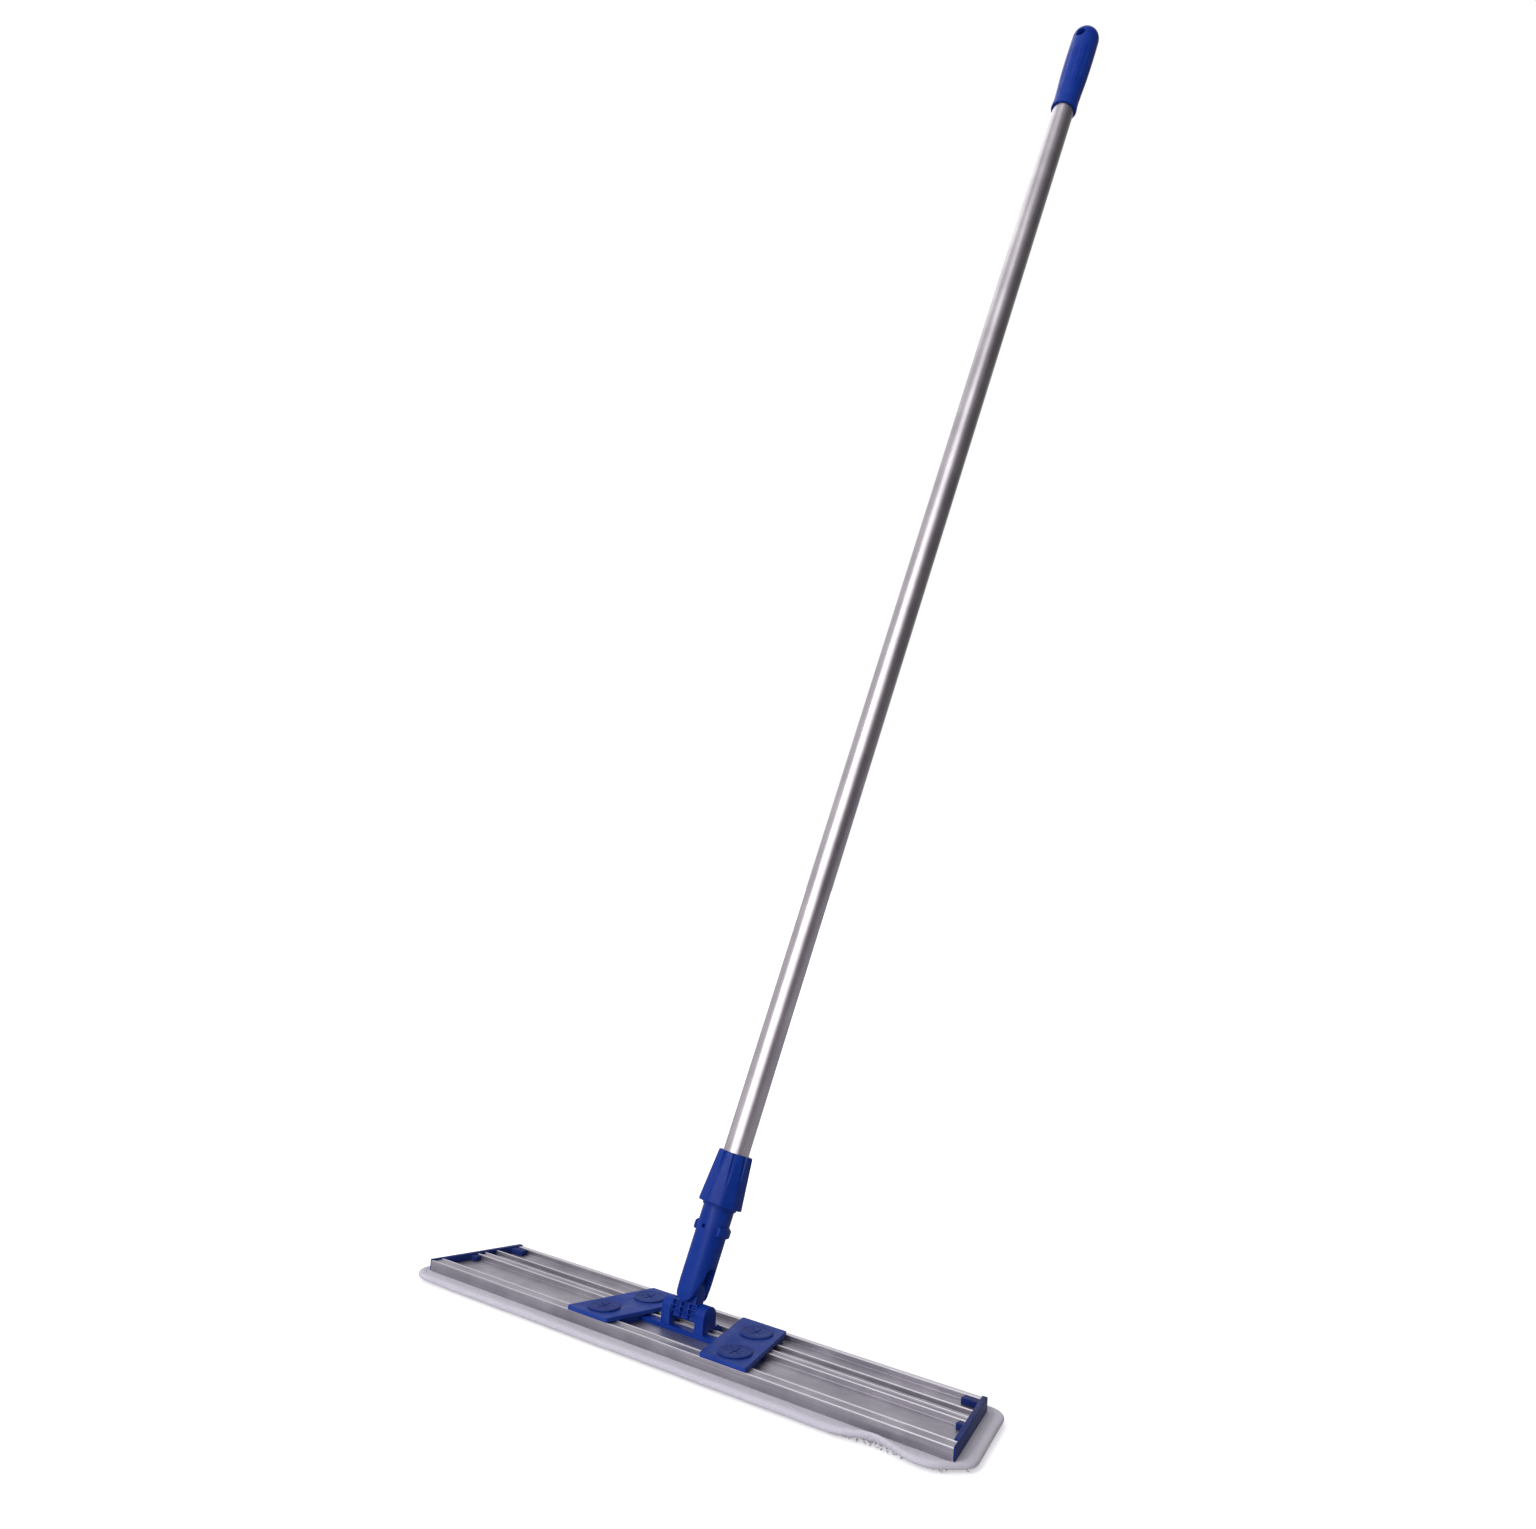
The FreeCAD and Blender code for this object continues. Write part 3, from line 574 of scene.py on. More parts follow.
def disc_ring(radius, height, middle):
    """One ring of a disc: at each slit a few close points dip into the groove, and fillers follow."""
    ring = []
    fade = min(1.0, max(0.0, (SLIT_REACH - radius) / SLIT_FADE))
    for slit in range(SLITS):
        centre = SLIT_PITCH / 2 + slit * SLIT_PITCH
        for offset in SLIT_OFFSETS:
            angle = centre + math.asin(max(-0.8, min(0.8, offset / radius))) * SLIT_NARROW
            dip = max(0.0, 1 - abs(offset) / SLIT_HALF) * fade * SLIT_DEPTH
            ring.append((radius * math.cos(angle), radius * math.sin(angle), height - dip))
        spread = math.asin(min(0.8, SLIT_OFFSETS[-1] / radius)) * SLIT_NARROW
        for filler in SLIT_FILLERS:
            angle = centre + spread + filler * (SLIT_PITCH - 2 * spread)
            ring.append((radius * math.cos(angle), radius * math.sin(angle), height))
    return [(x + middle.x, y + middle.y, z) for x, y, z in ring]


def gripper_disc(node, name):
    low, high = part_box(node)
    middle = (Vector(low) + Vector(high)) / 2 / MM
    rings = [disc_ring(radius, height, middle) for radius, height in DISC_PROFILE]
    piece = ringed(name, rings, soft_blue, crease_deg=50)
    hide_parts(node)
    settle(piece, "head")


for side in ("left", "right"):
    plate = softened("cloth_plate_" + side, "raised_plate_" + side, plate_blue, 0.35)
    settle(plate, "head")
    for place_name in ("front", "rear"):
        gripper_disc(f"gripper_{side}_{place_name}", f"slit_disc_{side}_{place_name}")

# %% [markdown]
# ## The swivel
# A base with two ears is riveted to the frame, a ribbed cross block tips between the ears, and the fork of
# the handle rocks over the block.  All three are thick plastic with pockets and a moulder's radius on every
# edge, so the CAD shapes are kept and only softened.
# %% Base, block, fork and buttons
SOFTENED = [("swivel_base", "eared_base", "head", 0.6),
            ("hinge_block", "ribbed_cross_block", "hinge_block", 0.35),
            ("swivel_fork", "handle_fork", "handle", 0.6),
            ("release_button_left", "release_lug_left", "release_button_left", 0.6),
            ("release_button_right", "release_lug_right", "release_button_right", 0.6)]
for node, name, body, radius in SOFTENED:
    settle(softened(node, name, swivel_blue, radius), body)

# %% [markdown]
# The pins, the spring, the rivets, the hook tape and the threaded adapter are right as the CAD has them.
# They stay, and only take a finish.
# %% Finishes for the CAD nodes that stay
KEPT = {"handle_adapter": swivel_blue, "tilt_pin": pin_steel, "swivel_pin": pin_steel,
        "button_spring": pin_steel, "clamp_ring": ring_acetal, "base_rivets": rivet_aluminium,
        "hook_strip_front": hook_tape, "hook_strip_rear": hook_tape}
for node, material in KEPT.items():
    kept = frame["nodes"][node]
    kept.data.materials.clear()
    kept.data.materials.append(material)

# %% [markdown]
# ## The clamp nut
# Turning this cone squeezes a collet onto the tube.  Its body has ten flat sides for the fingers, and
# between them a groove cuts in that is deep at the narrow end and runs out past half way down.  A surface
# whose radius is a rule of height and angle says all that in a few lines, so no shape has to be cut from
# another.
# %% Clamp nut
NUT_SIDES, NUT_BOTTOM, NUT_TOP = 10, 74.6, 123.0
NUT_R_BOTTOM, NUT_R_TOP, NUT_BORE = 22.0, 17.4, 12.85
NUT_SEAT_R, NUT_CHAMBER_R, NUT_MOUTH_R = 15.0, 16.2, 16.8
GROOVE_WIDTH, GROOVE_DEPTH, GROOVE_FROM, GROOVE_STEEP = 0.3, 2.0, 0.38, 2.2
FLATNESS, CREASE_WIDTH, CREASE_DEPTH = 0.75, 0.035, 0.25
NUT_SKIN = [(NUT_R_BOTTOM - 0.2 + (NUT_R_TOP - NUT_R_BOTTOM) * s,
             NUT_BOTTOM + 0.9 + (NUT_TOP - NUT_BOTTOM - 1.7) * s) for s in np.linspace(0, 1, 26)]
NUT_PROFILE = [(NUT_CHAMBER_R, NUT_BOTTOM + 6), (NUT_CHAMBER_R, NUT_BOTTOM + 0.6), (NUT_MOUTH_R, NUT_BOTTOM),
               (NUT_R_BOTTOM - 0.9, NUT_BOTTOM), (NUT_R_BOTTOM - 0.35, NUT_BOTTOM + 0.3)] + NUT_SKIN
NUT_PROFILE += [(NUT_R_TOP - 0.45, NUT_TOP - 0.35), (NUT_R_TOP - 1.0, NUT_TOP), (NUT_BORE + 0.5, NUT_TOP),
                (NUT_BORE, NUT_TOP - 0.5), (NUT_BORE, 119.4), (NUT_SEAT_R, 119.4), (NUT_SEAT_R, 99.0),
                (16.1, 98.0), (NUT_CHAMBER_R, NUT_BOTTOM + 6)]
NUT_INSIDE = {r for r, h in NUT_PROFILE if r <= NUT_MOUTH_R and h < NUT_TOP - 3} | {NUT_BORE, NUT_BORE + 0.5}


def nut_ripple(radius, height, angles):
    """How far the outside lies within the cone: flat sides, and a groove on each corner."""
    if radius in NUT_INSIDE:
        return 0.0
    share = (height - NUT_BOTTOM) / (NUT_TOP - NUT_BOTTOM)
    pitch = 2 * math.pi / NUT_SIDES
    from_side = (angles + pitch / 2) % pitch - pitch / 2
    cone = NUT_R_BOTTOM + (NUT_R_TOP - NUT_R_BOTTOM) * share
    flat = cone * (1 - math.cos(pitch / 2) / np.cos(from_side)) * FLATNESS
    from_corner = pitch / 2 - np.abs(from_side)
    deep = max(0.0, share - GROOVE_FROM) / (1 - GROOVE_FROM)
    half = GROOVE_WIDTH * (0.35 + 0.65 * deep) / 2
    wall = np.clip(GROOVE_STEEP * (1 - from_corner / max(half, 1e-3)), 0, 1)
    crease = np.exp(-((from_corner / CREASE_WIDTH) ** 2)) * CREASE_DEPTH
    return flat + wall * GROOVE_DEPTH * min(1.0, deep * 1.15) + crease


def clamp_nut():
    piece = turned("fluted_clamp_nut", NUT_PROFILE, swivel_blue, HANDLE, 480, 42, nut_ripple, ends=False)
    seamed(piece, 1e-6, 42)
    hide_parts("clamp_nut")
    settle(piece, "clamp_nut")


clamp_nut()

# %% [markdown]
# ## The tube and the grip
# The tube is a drawn pipe with a thin wall and lightly rolled ends, so it is an outline of its wall turned
# about the handle.  The grip is soft plastic with a slim rim, a waist, a fuller upper half with shallow
# flutes, a domed end and a hole to hang the mop by.  Its radius is again a rule of height and angle, and
# the hole is cut by a plug with flared ends, which leaves a rounded rim.
# %% Tube
TUBE_R, TUBE_WALL, TUBE_START, TUBE_END = 12.5, 0.8, 75.0, 1453.0
ROLLED, LIP = 0.4, 0.3


def drawn_tube():
    """The tube's wall, up the outside and back down the bore."""
    inner = TUBE_R - TUBE_WALL
    outline = [(inner, TUBE_END - ROLLED), (inner, TUBE_START + ROLLED), (inner + LIP, TUBE_START),
               (TUBE_R - LIP, TUBE_START), (TUBE_R, TUBE_START + ROLLED)]
    outline += [(TUBE_R, height) for height in np.linspace(100, 1430, 15)]
    outline += [(TUBE_R, TUBE_END - ROLLED), (TUBE_R - LIP, TUBE_END), (inner + LIP, TUBE_END), outline[0]]
    piece = turned("drawn_handle_tube", outline, anodised_tube, HANDLE, 96, ends=False)
    seamed(piece, 1e-6, 35)
    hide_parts("handle_tube")
    settle(piece, "handle")


drawn_tube()

# %% Grip
GRIP_START, GRIP_TOP, HANG_HOLE_R, HANG_HOLE_T = 1367.0, 1489.0, 4.5, 1472.0
GRIP_FLUTES, FLUTE_DEPTH = 10, 0.42
GRIP_WAIST = [(0.0, 15.2), (3.0, 15.2), (8.0, 14.7), (16.0, 14.45), (30.0, 15.1), (50.0, 16.0), (66.0, 16.2),
              (80.0, 16.2), (95.0, 16.0), (107.0, 15.8)]
PLUG_HALF = [(HANG_HOLE_R, 11), (4.7, 13.0), (5.3, 14.6), (6.4, 16.0), (8.0, 22)]
PLUG = [(radius, -height) for radius, height in PLUG_HALF[::-1]] + PLUG_HALF
DOME_R, DOME_HEIGHT = 15.8, 15


def grip_radius(height):
    """The grip's radius at a height above its lower end."""
    rises, radii = zip(*GRIP_WAIST)
    return float(np.interp(height, rises, radii))


def grip_flute(radius, height, angles):
    """Shallow flutes that fade in above the waist and out below the dome."""
    rise = height - GRIP_START
    depth = FLUTE_DEPTH * max(0.0, min(1.0, (rise - 22) / 14)) * max(0.0, min(1.0, (90 - rise) / 8))
    wave = np.cos(GRIP_FLUTES * angles)
    return depth * np.clip(wave, 0, 1) ** 1.5


def smooth_rows(function, rises, reach):
    """Average a profile over a short window, so that its corners turn soft."""
    window = np.linspace(-reach, reach, 9)
    return [(np.mean([function(min(max(rise + d, rises[0]), rises[-1])) for d in window]), GRIP_START + rise)
            for rise in rises]


def end_grip():
    """The grip over the tube's end, with the hang hole cut through it from front to rear."""
    inner = TUBE_R + 0.02
    side = smooth_rows(grip_radius, list(np.arange(1.2, 106.8, 1.6)), 4.0)
    dome = [(DOME_R * math.cos(a) ** 0.8, GRIP_TOP - DOME_HEIGHT + DOME_HEIGHT * math.sin(a))
            for a in np.linspace(0.04, 1.5, 18)]
    outline = [(inner, GRIP_START + 40), (inner, GRIP_START + 0.6), (inner + 0.5, GRIP_START),
               (14.5, GRIP_START), (15.0, GRIP_START + 0.4)] + side + dome
    piece = turned("fluted_end_grip", outline, grip_blue, HANDLE, 180, 40, grip_flute)
    lifted = HANDLE @ Matrix.Translation((0, 0, HANG_HOLE_T * MM))
    across = lifted @ Matrix.Rotation(math.radians(90), 4, "X")
    plug = turned("hang_hole_plug", PLUG, grip_blue, across, 64, 60)
    cut = piece.modifiers.new("hang_hole", "BOOLEAN")
    cut.operation, cut.object, cut.solver = "DIFFERENCE", plug, "EXACT"
    applied(piece)
    bpy.data.objects.remove(plug)
    piece.data.set_sharp_from_angle(angle=math.radians(40))
    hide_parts("grip")
    settle(piece, "handle")


end_grip()


# %% [markdown]
# ## The microfibre pad
# The real pad is a soft sandwich: looped microfibre below, absorbent felt inside, brushed fabric on top,
# with a folded tape sewn round the edge.  It stands out of the frame all round, and only there is it free
# to swell.  So its outline is the frame's own trapezoid, grown by a margin and rounded, and repeated as
# rings from the middle of the underside, round the edge and back to the middle of the top.
# %% Rings of the pad
PAD_MARGIN, FRAME_SOLE = 14.5, 7.93
END_SLANT = END_TAPER / (2 * FRAME_HALF)
CORNER_RADII, CORNER_STEPS = (21.0, 27.0, 20.0, 20.0), 10
SIDE_COUNTS = (150, 26, 142, 26)
TAPE_INSET, FREE_INSET = 7.5, 15.0
PILE_TOP = 2.7
EDGE_PROFILE = [(2.4, 2.75), (1.3, 3.0), (0.6, 3.6), (0.3, 4.4), (0.35, 5.3), (0.8, 6.2), (1.7, 6.85),
                (3.0, 7.2)]
UNDER = [(inset, PILE_TOP) for inset in (58, 46, 34, 24, 18, FREE_INSET, 12.5, 10, TAPE_INSET, 5.6, 3.8)]
OVER = [(4.6, 7.4), (6.1, 7.5), (TAPE_INSET, 7.5), (9.3, 7.6), (11.2, 7.75), (13.0, 7.85)]
OVER += [(inset, FRAME_SOLE) for inset in (FREE_INSET, 18, 24, 34, 46, 58)]
PAD_PROFILE = UNDER + EDGE_PROFILE + OVER


def outline_corners(margin):
    """The frame's four corners, grown by a margin."""
    reach = margin * math.hypot(1, END_SLANT)
    front = FRAME_REACH + reach + END_SLANT * margin
    rear = FRAME_REACH - END_TAPER + reach - END_SLANT * margin
    y = FRAME_HALF + margin
    return [(-front, -y), (front, -y), (rear, y), (-rear, y)]


def pad_outline(inset):
    """One ring of the pad in the plane, with the same number of points for every inset."""
    corners, points, arcs = outline_corners(PAD_MARGIN - inset), [], []
    for i in range(4):
        radius = max(CORNER_RADII[i] - inset, 1.0)
        first, last = i * (CORNER_STEPS + 1), (i + 1) * (CORNER_STEPS + 1)
        arcs.append(rounded_outline(corners, radius, CORNER_STEPS)[first:last])
    for arc, following, count in zip(arcs, arcs[1:] + arcs[:1], SIDE_COUNTS):
        points += list(arc) + [arc[-1] + (following[0] - arc[-1]) * s / count for s in range(1, count)]
    return np.array(points)


AROUND = len(pad_outline(0.0))

# %% [markdown]
# A cloth simulation with a little air pressure gives the puffed margin: the rings under the frame are
# pinned, because the hook tape holds them flat, and so is the sewn line of the tape.  The simulation is
# only allowed to move a point by a small cap, which keeps the pad inside its real thickness.
# %% Puffing by cloth simulation
PRESSURE, PUFF_CAP, CLOTH_FRAMES = 4.0, 1.3, 20


def points_of(mesh):
    """A mesh's points as an (n, 3) array."""
    return np.array([v.co for v in mesh.vertices])


def puffed(piece, pinned):
    """The piece's points after a short cloth simulation, each moved by no more than the cap."""
    start = points_of(piece.data)
    piece.vertex_groups.new(name="pinned").add(pinned, 1.0, "REPLACE")
    cloth = piece.modifiers.new("cloth", "CLOTH")
    cloth.settings.quality, cloth.settings.mass = 6, 0.15
    cloth.settings.vertex_group_mass = "pinned"
    cloth.settings.use_pressure, cloth.settings.uniform_pressure_force = True, PRESSURE
    cloth.settings.effector_weights.gravity = 0.0
    cloth.point_cache.frame_start, cloth.point_cache.frame_end = 1, CLOTH_FRAMES
    for number in range(1, CLOTH_FRAMES + 1):
        bpy.context.scene.frame_set(number)
    graph = bpy.context.evaluated_depsgraph_get()
    end = points_of(piece.evaluated_get(graph).data)
    piece.modifiers.clear()
    piece.vertex_groups.clear()
    bpy.context.scene.frame_set(1)
    move = end - start
    length = np.linalg.norm(move, axis=1, keepdims=True)
    held = move / np.maximum(length, 1e-9) * np.minimum(length, PUFF_CAP * MM)
    print("the cloth moved its points by up to", round(float(length.max()) / MM, 2), "mm, held to", PUFF_CAP)
    return start + held


LIFT_X, LIFT_REACH, LIFT_UP, LIFT_IN = 236.0, 24.0, 6.0, 4.6
PULL_X, PULL_Y, PULL_REACH_X, PULL_REACH_Y, PULL = 305.0, -58.0, 22.0, 16.0, 5.0
FAR_X, FAR_REACH = -310.0, 30.0


def slack(points, insets):
    """A used pad's slack: waves in the free margin, a lifted stretch of the front edge, a pulled corner."""
    x, y, z = points.T / MM
    free = np.clip((FREE_INSET - insets) / FREE_INSET, 0, 1) ** 1.3
    wave = 0.45 * np.sin(x / 23.0 + 1.1) + 0.35 * np.sin(x / 9.7 + y / 31.0)
    wave = wave + 0.3 * np.sin(x / 41.0 - y / 17.0 + 2.0)
    z = z + free * np.clip(z / 8.0, 0, 1) * wave * 0.8
    front = np.clip((-y - 40.0) / 12.0, 0, 1)
    lift = np.exp(-(((x - LIFT_X) / LIFT_REACH) ** 2)) * front * free
    z, y = z + LIFT_UP * lift, y + LIFT_IN * lift
    corner = np.exp(-(((x - PULL_X) / PULL_REACH_X) ** 2 + ((y - PULL_Y) / PULL_REACH_Y) ** 2)) * free
    x, y, z = x - PULL * corner, y + PULL * corner, z + corner
    z = z + np.exp(-(((x - FAR_X) / FAR_REACH) ** 2)) * free
    return np.stack([x, y, np.maximum(z, 0.6)], axis=1) * MM


def microfibre_pad():
    """The pad's skin and its points ring by ring, which the tape and the pile are laid on."""
    rings = [np.column_stack([pad_outline(inset), np.full(AROUND, z)]) for inset, z in PAD_PROFILE]
    piece = ringed("microfibre_pad", rings, loop_fabric, crease_deg=180)
    with mesh_work(piece) as work:
        bmesh.ops.triangulate(work, faces=[face for face in work.faces if len(face.verts) > 4])
    insets = np.repeat([inset for inset, z in PAD_PROFILE], AROUND)
    pinned = [int(i) for i in np.nonzero((insets >= FREE_INSET) | (insets == TAPE_INSET))[0]]
    points = puffed(piece, pinned)
    points = slack(points, insets)
    piece.data.vertices.foreach_set("co", points.ravel())
    piece.data.update()
    return piece, points.reshape(len(PAD_PROFILE), AROUND, 3)


pad, pad_rings = microfibre_pad()

# %% [markdown]
# The binding tape is folded over the edge, so it must follow whatever the pad does there.  It is made from
# the pad's own rings: a copy pushed out along the surface, and another left just inside, joined to a closed
# band.  The sewing then sits on it as separate stitches.
# %% Binding tape
TAPE_THICK, TAPE_SUNK, TAPE_END_SHARE = 0.55, 0.15, 0.35


def ring_normals(rings):
    """Outward directions of a stack of rings, from their neighbours."""
    along = np.roll(rings, -1, axis=1) - np.roll(rings, 1, axis=1)
    across = np.gradient(rings, axis=0)
    normals = np.cross(along, across)
    return normals / np.maximum(np.linalg.norm(normals, axis=2, keepdims=True), 1e-12)


def binding_tape(rings):
    """The band over the pad's edge, and the rings of its outer face from below to above."""
    below, above = [i for i, (inset, z) in enumerate(PAD_PROFILE) if inset == TAPE_INSET]
    band, out = rings[below:above + 1], ring_normals(rings)[below:above + 1]
    if np.sum(out[len(out) // 2, 0] * np.array([-1.0, -1.0, 0.0])) < 0:
        out = -out
    share = np.ones((len(band), 1, 1))
    share[0], share[-1] = TAPE_END_SHARE, TAPE_END_SHARE
    outer, inner = band + out * TAPE_THICK * MM * share, band - out * TAPE_SUNK * MM
    loop = np.concatenate([outer, inner[::-1], outer[:1]]) / MM
    piece = ringed("folded_edge_tape", loop, edge_tape, crease_deg=60, ends=False)
    seamed(piece, 1e-7, 60)
    return piece, outer


tape, tape_rings = binding_tape(pad_rings)

# %% [markdown]
# One subdivision turns both meshes smooth.
# %% Smooth
for piece, nodes, slot in ((pad, ("pad_face", "pad_core", "pad_backing"), "loop_fabric"),
                           (tape, ("pad_binding",), "binding_tape")):
    smooth = piece.modifiers.new("smooth", "SUBSURF")
    smooth.levels = smooth.render_levels = 1
    applied(piece)
    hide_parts(*nodes)
    settle(piece, "head")

# %% [markdown]
# ## Sewing and pile, by Geometry Nodes
# Stitches and pile loops repeat hundreds of times, so each is one small shape placed on many points.  A
# tree takes a mesh of points or a line, places the shape, and ends in Realize Instances and Set Material.
# The result is turned into a plain mesh, because an instance doesn't survive the export.
# %% Tree helpers
def new_tree(name, sizes):
    """A geometry tree with one geometry input, named number inputs and one geometry output."""
    tree = bpy.data.node_groups.new(name, "GeometryNodeTree")
    tree.interface.new_socket("Geometry", in_out="INPUT", socket_type="NodeSocketGeometry")
    for label, value in sizes.items():
        kind = "NodeSocketInt" if isinstance(value, int) else "NodeSocketFloat"
        tree.interface.new_socket(label, in_out="INPUT", socket_type=kind).default_value = value
    tree.interface.new_socket("Geometry", in_out="OUTPUT", socket_type="NodeSocketGeometry")
    return tree, add_node(tree, "NodeGroupInput").outputs


def finish_tree(tree, placed, material):
    """Realize the instances, give them their material and send them out."""
    real = add_node(tree, "GeometryNodeRealizeInstances", {0: placed})
    named = add_node(tree, "GeometryNodeSetMaterial", {"Geometry": real.outputs[0], "Material": material})
    add_node(tree, "NodeGroupOutput", {0: named.outputs[0]})


def grown(name, points, edges, tree, sizes, material):
    """Run a tree on a mesh of points and edges, and keep the result as a plain mesh."""
    seedbed = bpy.data.meshes.new(name + "_points")
    seedbed.from_pydata([tuple(p) for p in points], edges, [])
    piece = linked(name, seedbed)
    nodes = piece.modifiers.new("nodes", "NODES")
    nodes.node_group = tree
    for item in tree.interface.items_tree:
        if item.in_out == "INPUT" and item.name in sizes:
            nodes[item.identifier] = sizes[item.name]
    applied(piece)
    piece.data.materials.clear()
    piece.data.materials.append(material)
    shade(piece, 60)
    bpy.data.meshes.remove(seedbed)
    settle(piece, "head")


# %% [markdown]
# A running stitch is a row of short thread humps.  Each is a stretched little ball laid along the line, and
# the line runs between the last two rings of the tape's upper side, a hair above them.
# %% Stitches round the tape
STITCH_PITCH, STITCH_SHARE, STITCH_LIFT = 0.0036, 0.7, 0.12


def stitch_tree():
    """Little balls, stretched to stitches, along the edges of a mesh."""
    tree, sizes = new_tree("running_stitch", {"Pitch": STITCH_PITCH, "Length": 0.0026, "Thickness": 0.0006})
    line = add_node(tree, "GeometryNodeMeshToCurve", {"Mesh": sizes["Geometry"]})
    inputs = {"Curve": line.outputs[0], "Length": sizes["Pitch"]}
    spots = add_node(tree, "GeometryNodeCurveToPoints", inputs, mode="LENGTH").outputs
    ball = add_node(tree, "GeometryNodeMeshUVSphere", {"Segments": 6, "Rings": 5, "Radius": 0.5})
    inputs = {0: sizes["Thickness"], 1: sizes["Thickness"], 2: sizes["Length"]}
    shape = add_node(tree, "ShaderNodeCombineXYZ", inputs)
    inputs = {"Geometry": ball.outputs[0], "Scale": shape.outputs[0]}
    thread = add_node(tree, "GeometryNodeTransform", inputs)
    inputs = {"Points": spots["Points"], "Instance": thread.outputs[0], "Rotation": spots["Rotation"]}
    placed = add_node(tree, "GeometryNodeInstanceOnPoints", inputs)
    finish_tree(tree, placed.outputs[0], sewing_thread)
    return tree


def inside_edge(rings):
    """A line between the last two rings of the tape, lifted a little."""
    line = rings[-2] * STITCH_SHARE + rings[-1] * (1 - STITCH_SHARE)
    return line + np.array([0, 0, STITCH_LIFT * MM])


closed = [(i, (i + 1) % AROUND) for i in range(AROUND)]
grown("tape_stitches", inside_edge(tape_rings), closed, stitch_tree(), {"Pitch": STITCH_PITCH},
      sewing_thread)

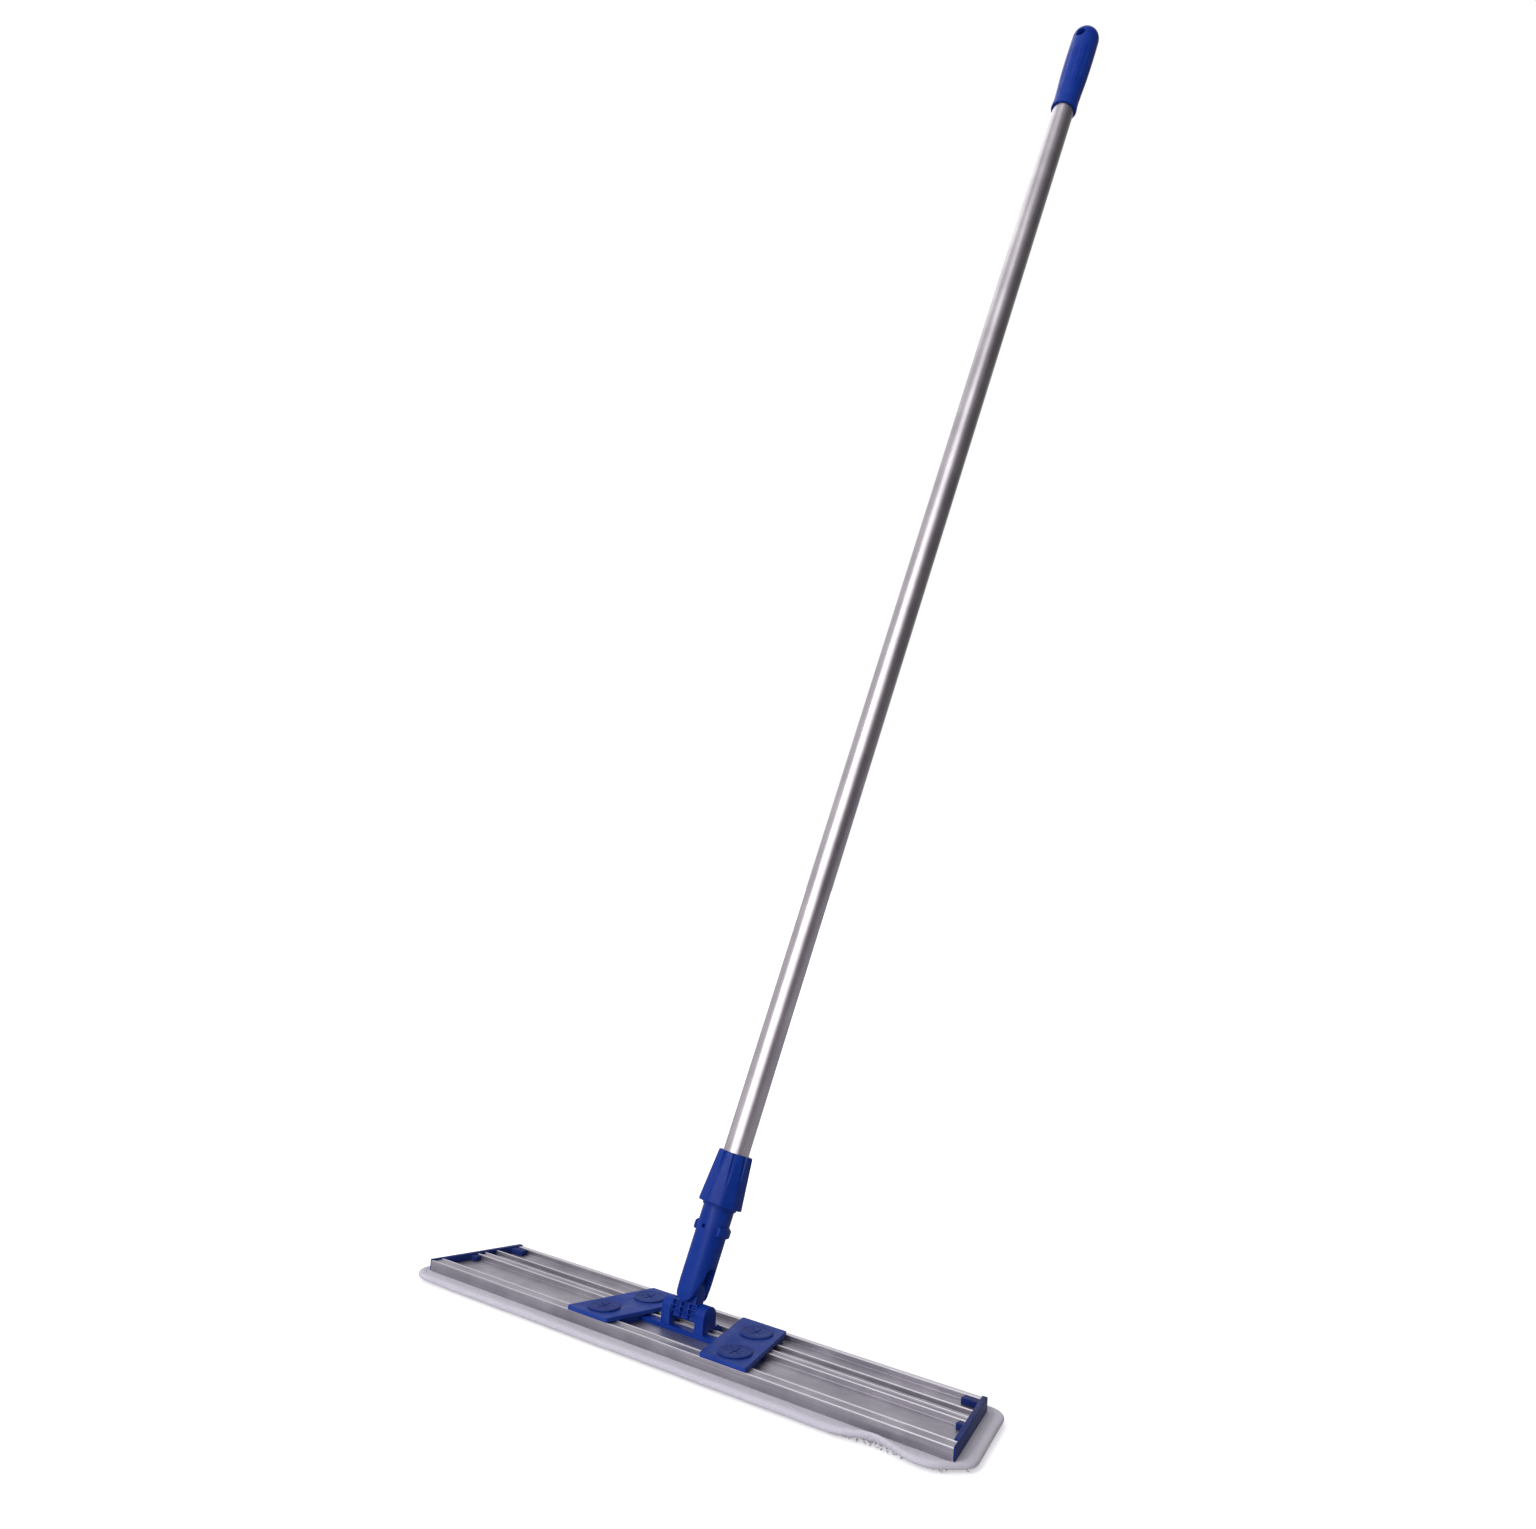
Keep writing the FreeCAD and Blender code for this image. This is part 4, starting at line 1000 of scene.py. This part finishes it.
# %% [markdown]
# Microfibre pile is yarn pushed through a backing in loops.  Real loops are packed so close that only their
# ends show; here each is drawn about three times its real size, so that it shows, in staggered rows under
# the pad.  Where the front edge has lifted, a few smaller ones peep out below the tape.  The fixed seed
# keeps every run the same.
# %% Loops of pile
def loop_tree():
    """Yarn bent to an arc and stood on every point of a mesh, each turned and scaled at random."""
    sizes = {"Width": 0.0034, "Height": 0.0026, "Yarn": 0.0009, "Lean": 0.35, "Seed": 3}
    tree, sizes = new_tree("pile_loops", sizes)
    start, sweep = math.radians(170), math.radians(200)
    inputs = {"Resolution": 6, "Radius": 0.5, "Start Angle": start, "Sweep Angle": sweep}
    arc = add_node(tree, "GeometryNodeCurveArc", inputs).outputs[0]
    shape = add_node(tree, "ShaderNodeCombineXYZ", {0: sizes["Width"], 1: sizes["Height"], 2: 1.0}).outputs[0]
    bow = add_node(tree, "GeometryNodeTransform", {"Geometry": arc, "Scale": shape}).outputs[0]
    inputs = {"Geometry": bow, "Rotation": (math.radians(90), 0, 0)}
    stood = add_node(tree, "GeometryNodeTransform", inputs).outputs[0]
    inputs = {"Resolution": 4, "Radius": maths(tree, "MULTIPLY", sizes["Yarn"], 0.5)}
    profile = add_node(tree, "GeometryNodeCurvePrimitiveCircle", inputs).outputs[0]
    inputs = {"Curve": stood, "Profile Curve": profile, "Fill Caps": True}
    yarn = add_node(tree, "GeometryNodeCurveToMesh", inputs).outputs[0]
    lean = maths(tree, "MULTIPLY", sizes["Lean"], -1.0)
    low = add_node(tree, "ShaderNodeCombineXYZ", {0: lean, 1: lean, 2: 0.0}).outputs[0]
    high = add_node(tree, "ShaderNodeCombineXYZ", {0: sizes["Lean"], 1: sizes["Lean"], 2: 6.283}).outputs[0]
    inputs = {0: low, 1: high, "Seed": sizes["Seed"]}
    turn = add_node(tree, "FunctionNodeRandomValue", inputs, data_type="FLOAT_VECTOR").outputs[0]
    inputs = {2: 0.8, 3: 1.15, "Seed": maths(tree, "ADD", sizes["Seed"], 11.0)}
    scale = add_node(tree, "FunctionNodeRandomValue", inputs, data_type="FLOAT").outputs[1]
    spots = add_node(tree, "GeometryNodeMeshToPoints", {"Mesh": sizes["Geometry"]}).outputs[0]
    inputs = {"Points": spots, "Instance": yarn, "Rotation": turn, "Scale": scale}
    placed = add_node(tree, "GeometryNodeInstanceOnPoints", inputs)
    finish_tree(tree, placed.outputs[0], pile_yarn)
    return tree


PILE_PITCH_X, PILE_PITCH_Y, PILE_INSET, PILE_FOOT, PILE_CORNER = 5.6, 5.2, 9.0, 2.35, 16.0


def sole_points():
    """Staggered rows of points under the pad, inside its outline."""
    points = []
    reach_y = FRAME_HALF + PAD_MARGIN - PILE_INSET
    rows = int(2 * reach_y / PILE_PITCH_Y)
    for row in range(rows + 1):
        y = -reach_y + row * 2 * reach_y / rows
        half = FRAME_REACH - END_SLANT * (y + FRAME_HALF) + PAD_MARGIN - PILE_INSET
        half -= max(0.0, abs(y) - (reach_y - PILE_CORNER)) * 0.9
        for step in range(int(-half / PILE_PITCH_X), int(half / PILE_PITCH_X) + 1):
            x = (step + 0.5 * (row % 2)) * PILE_PITCH_X
            points.append((x + random.uniform(-0.9, 0.9), y + random.uniform(-0.7, 0.7), PILE_FOOT))
    return np.array(points) * MM


def fringe_points(middle, spacing_mm, x_from, x_to):
    """Points along the front of one ring of the pad, between two places, scattered a little."""
    front = [p for p in middle if p[1] < -0.05 and x_from <= p[0] / MM <= x_to]
    front.sort(key=lambda p: p[0])
    points = []
    for start, end in zip(front, front[1:]):
        steps = max(1, round(float(np.linalg.norm(end - start)) / MM / spacing_mm))
        for step in range(steps):
            scatter = [random.uniform(-0.4, 0.4), random.uniform(-0.3, 0.2), random.uniform(-0.3, 0.1)]
            points.append(start + (end - start) * step / steps + np.array(scatter) * MM)
    return points


pile = loop_tree()
grown("sole_pile", sole_points(), [], pile,
      {"Width": 0.0044, "Height": 0.0028, "Yarn": 0.0012, "Seed": 5}, pile_yarn)
fringe = fringe_points(pad_rings[len(UNDER)], 1.3, 196.0, 246.0)
fringe += fringe_points(pad_rings[len(UNDER) + 2], 1.6, 200.0, 242.0)
grown("edge_pile", fringe, [], pile,
      {"Width": 0.0018, "Height": 0.0016, "Yarn": 0.0005, "Seed": 9}, pile_yarn)
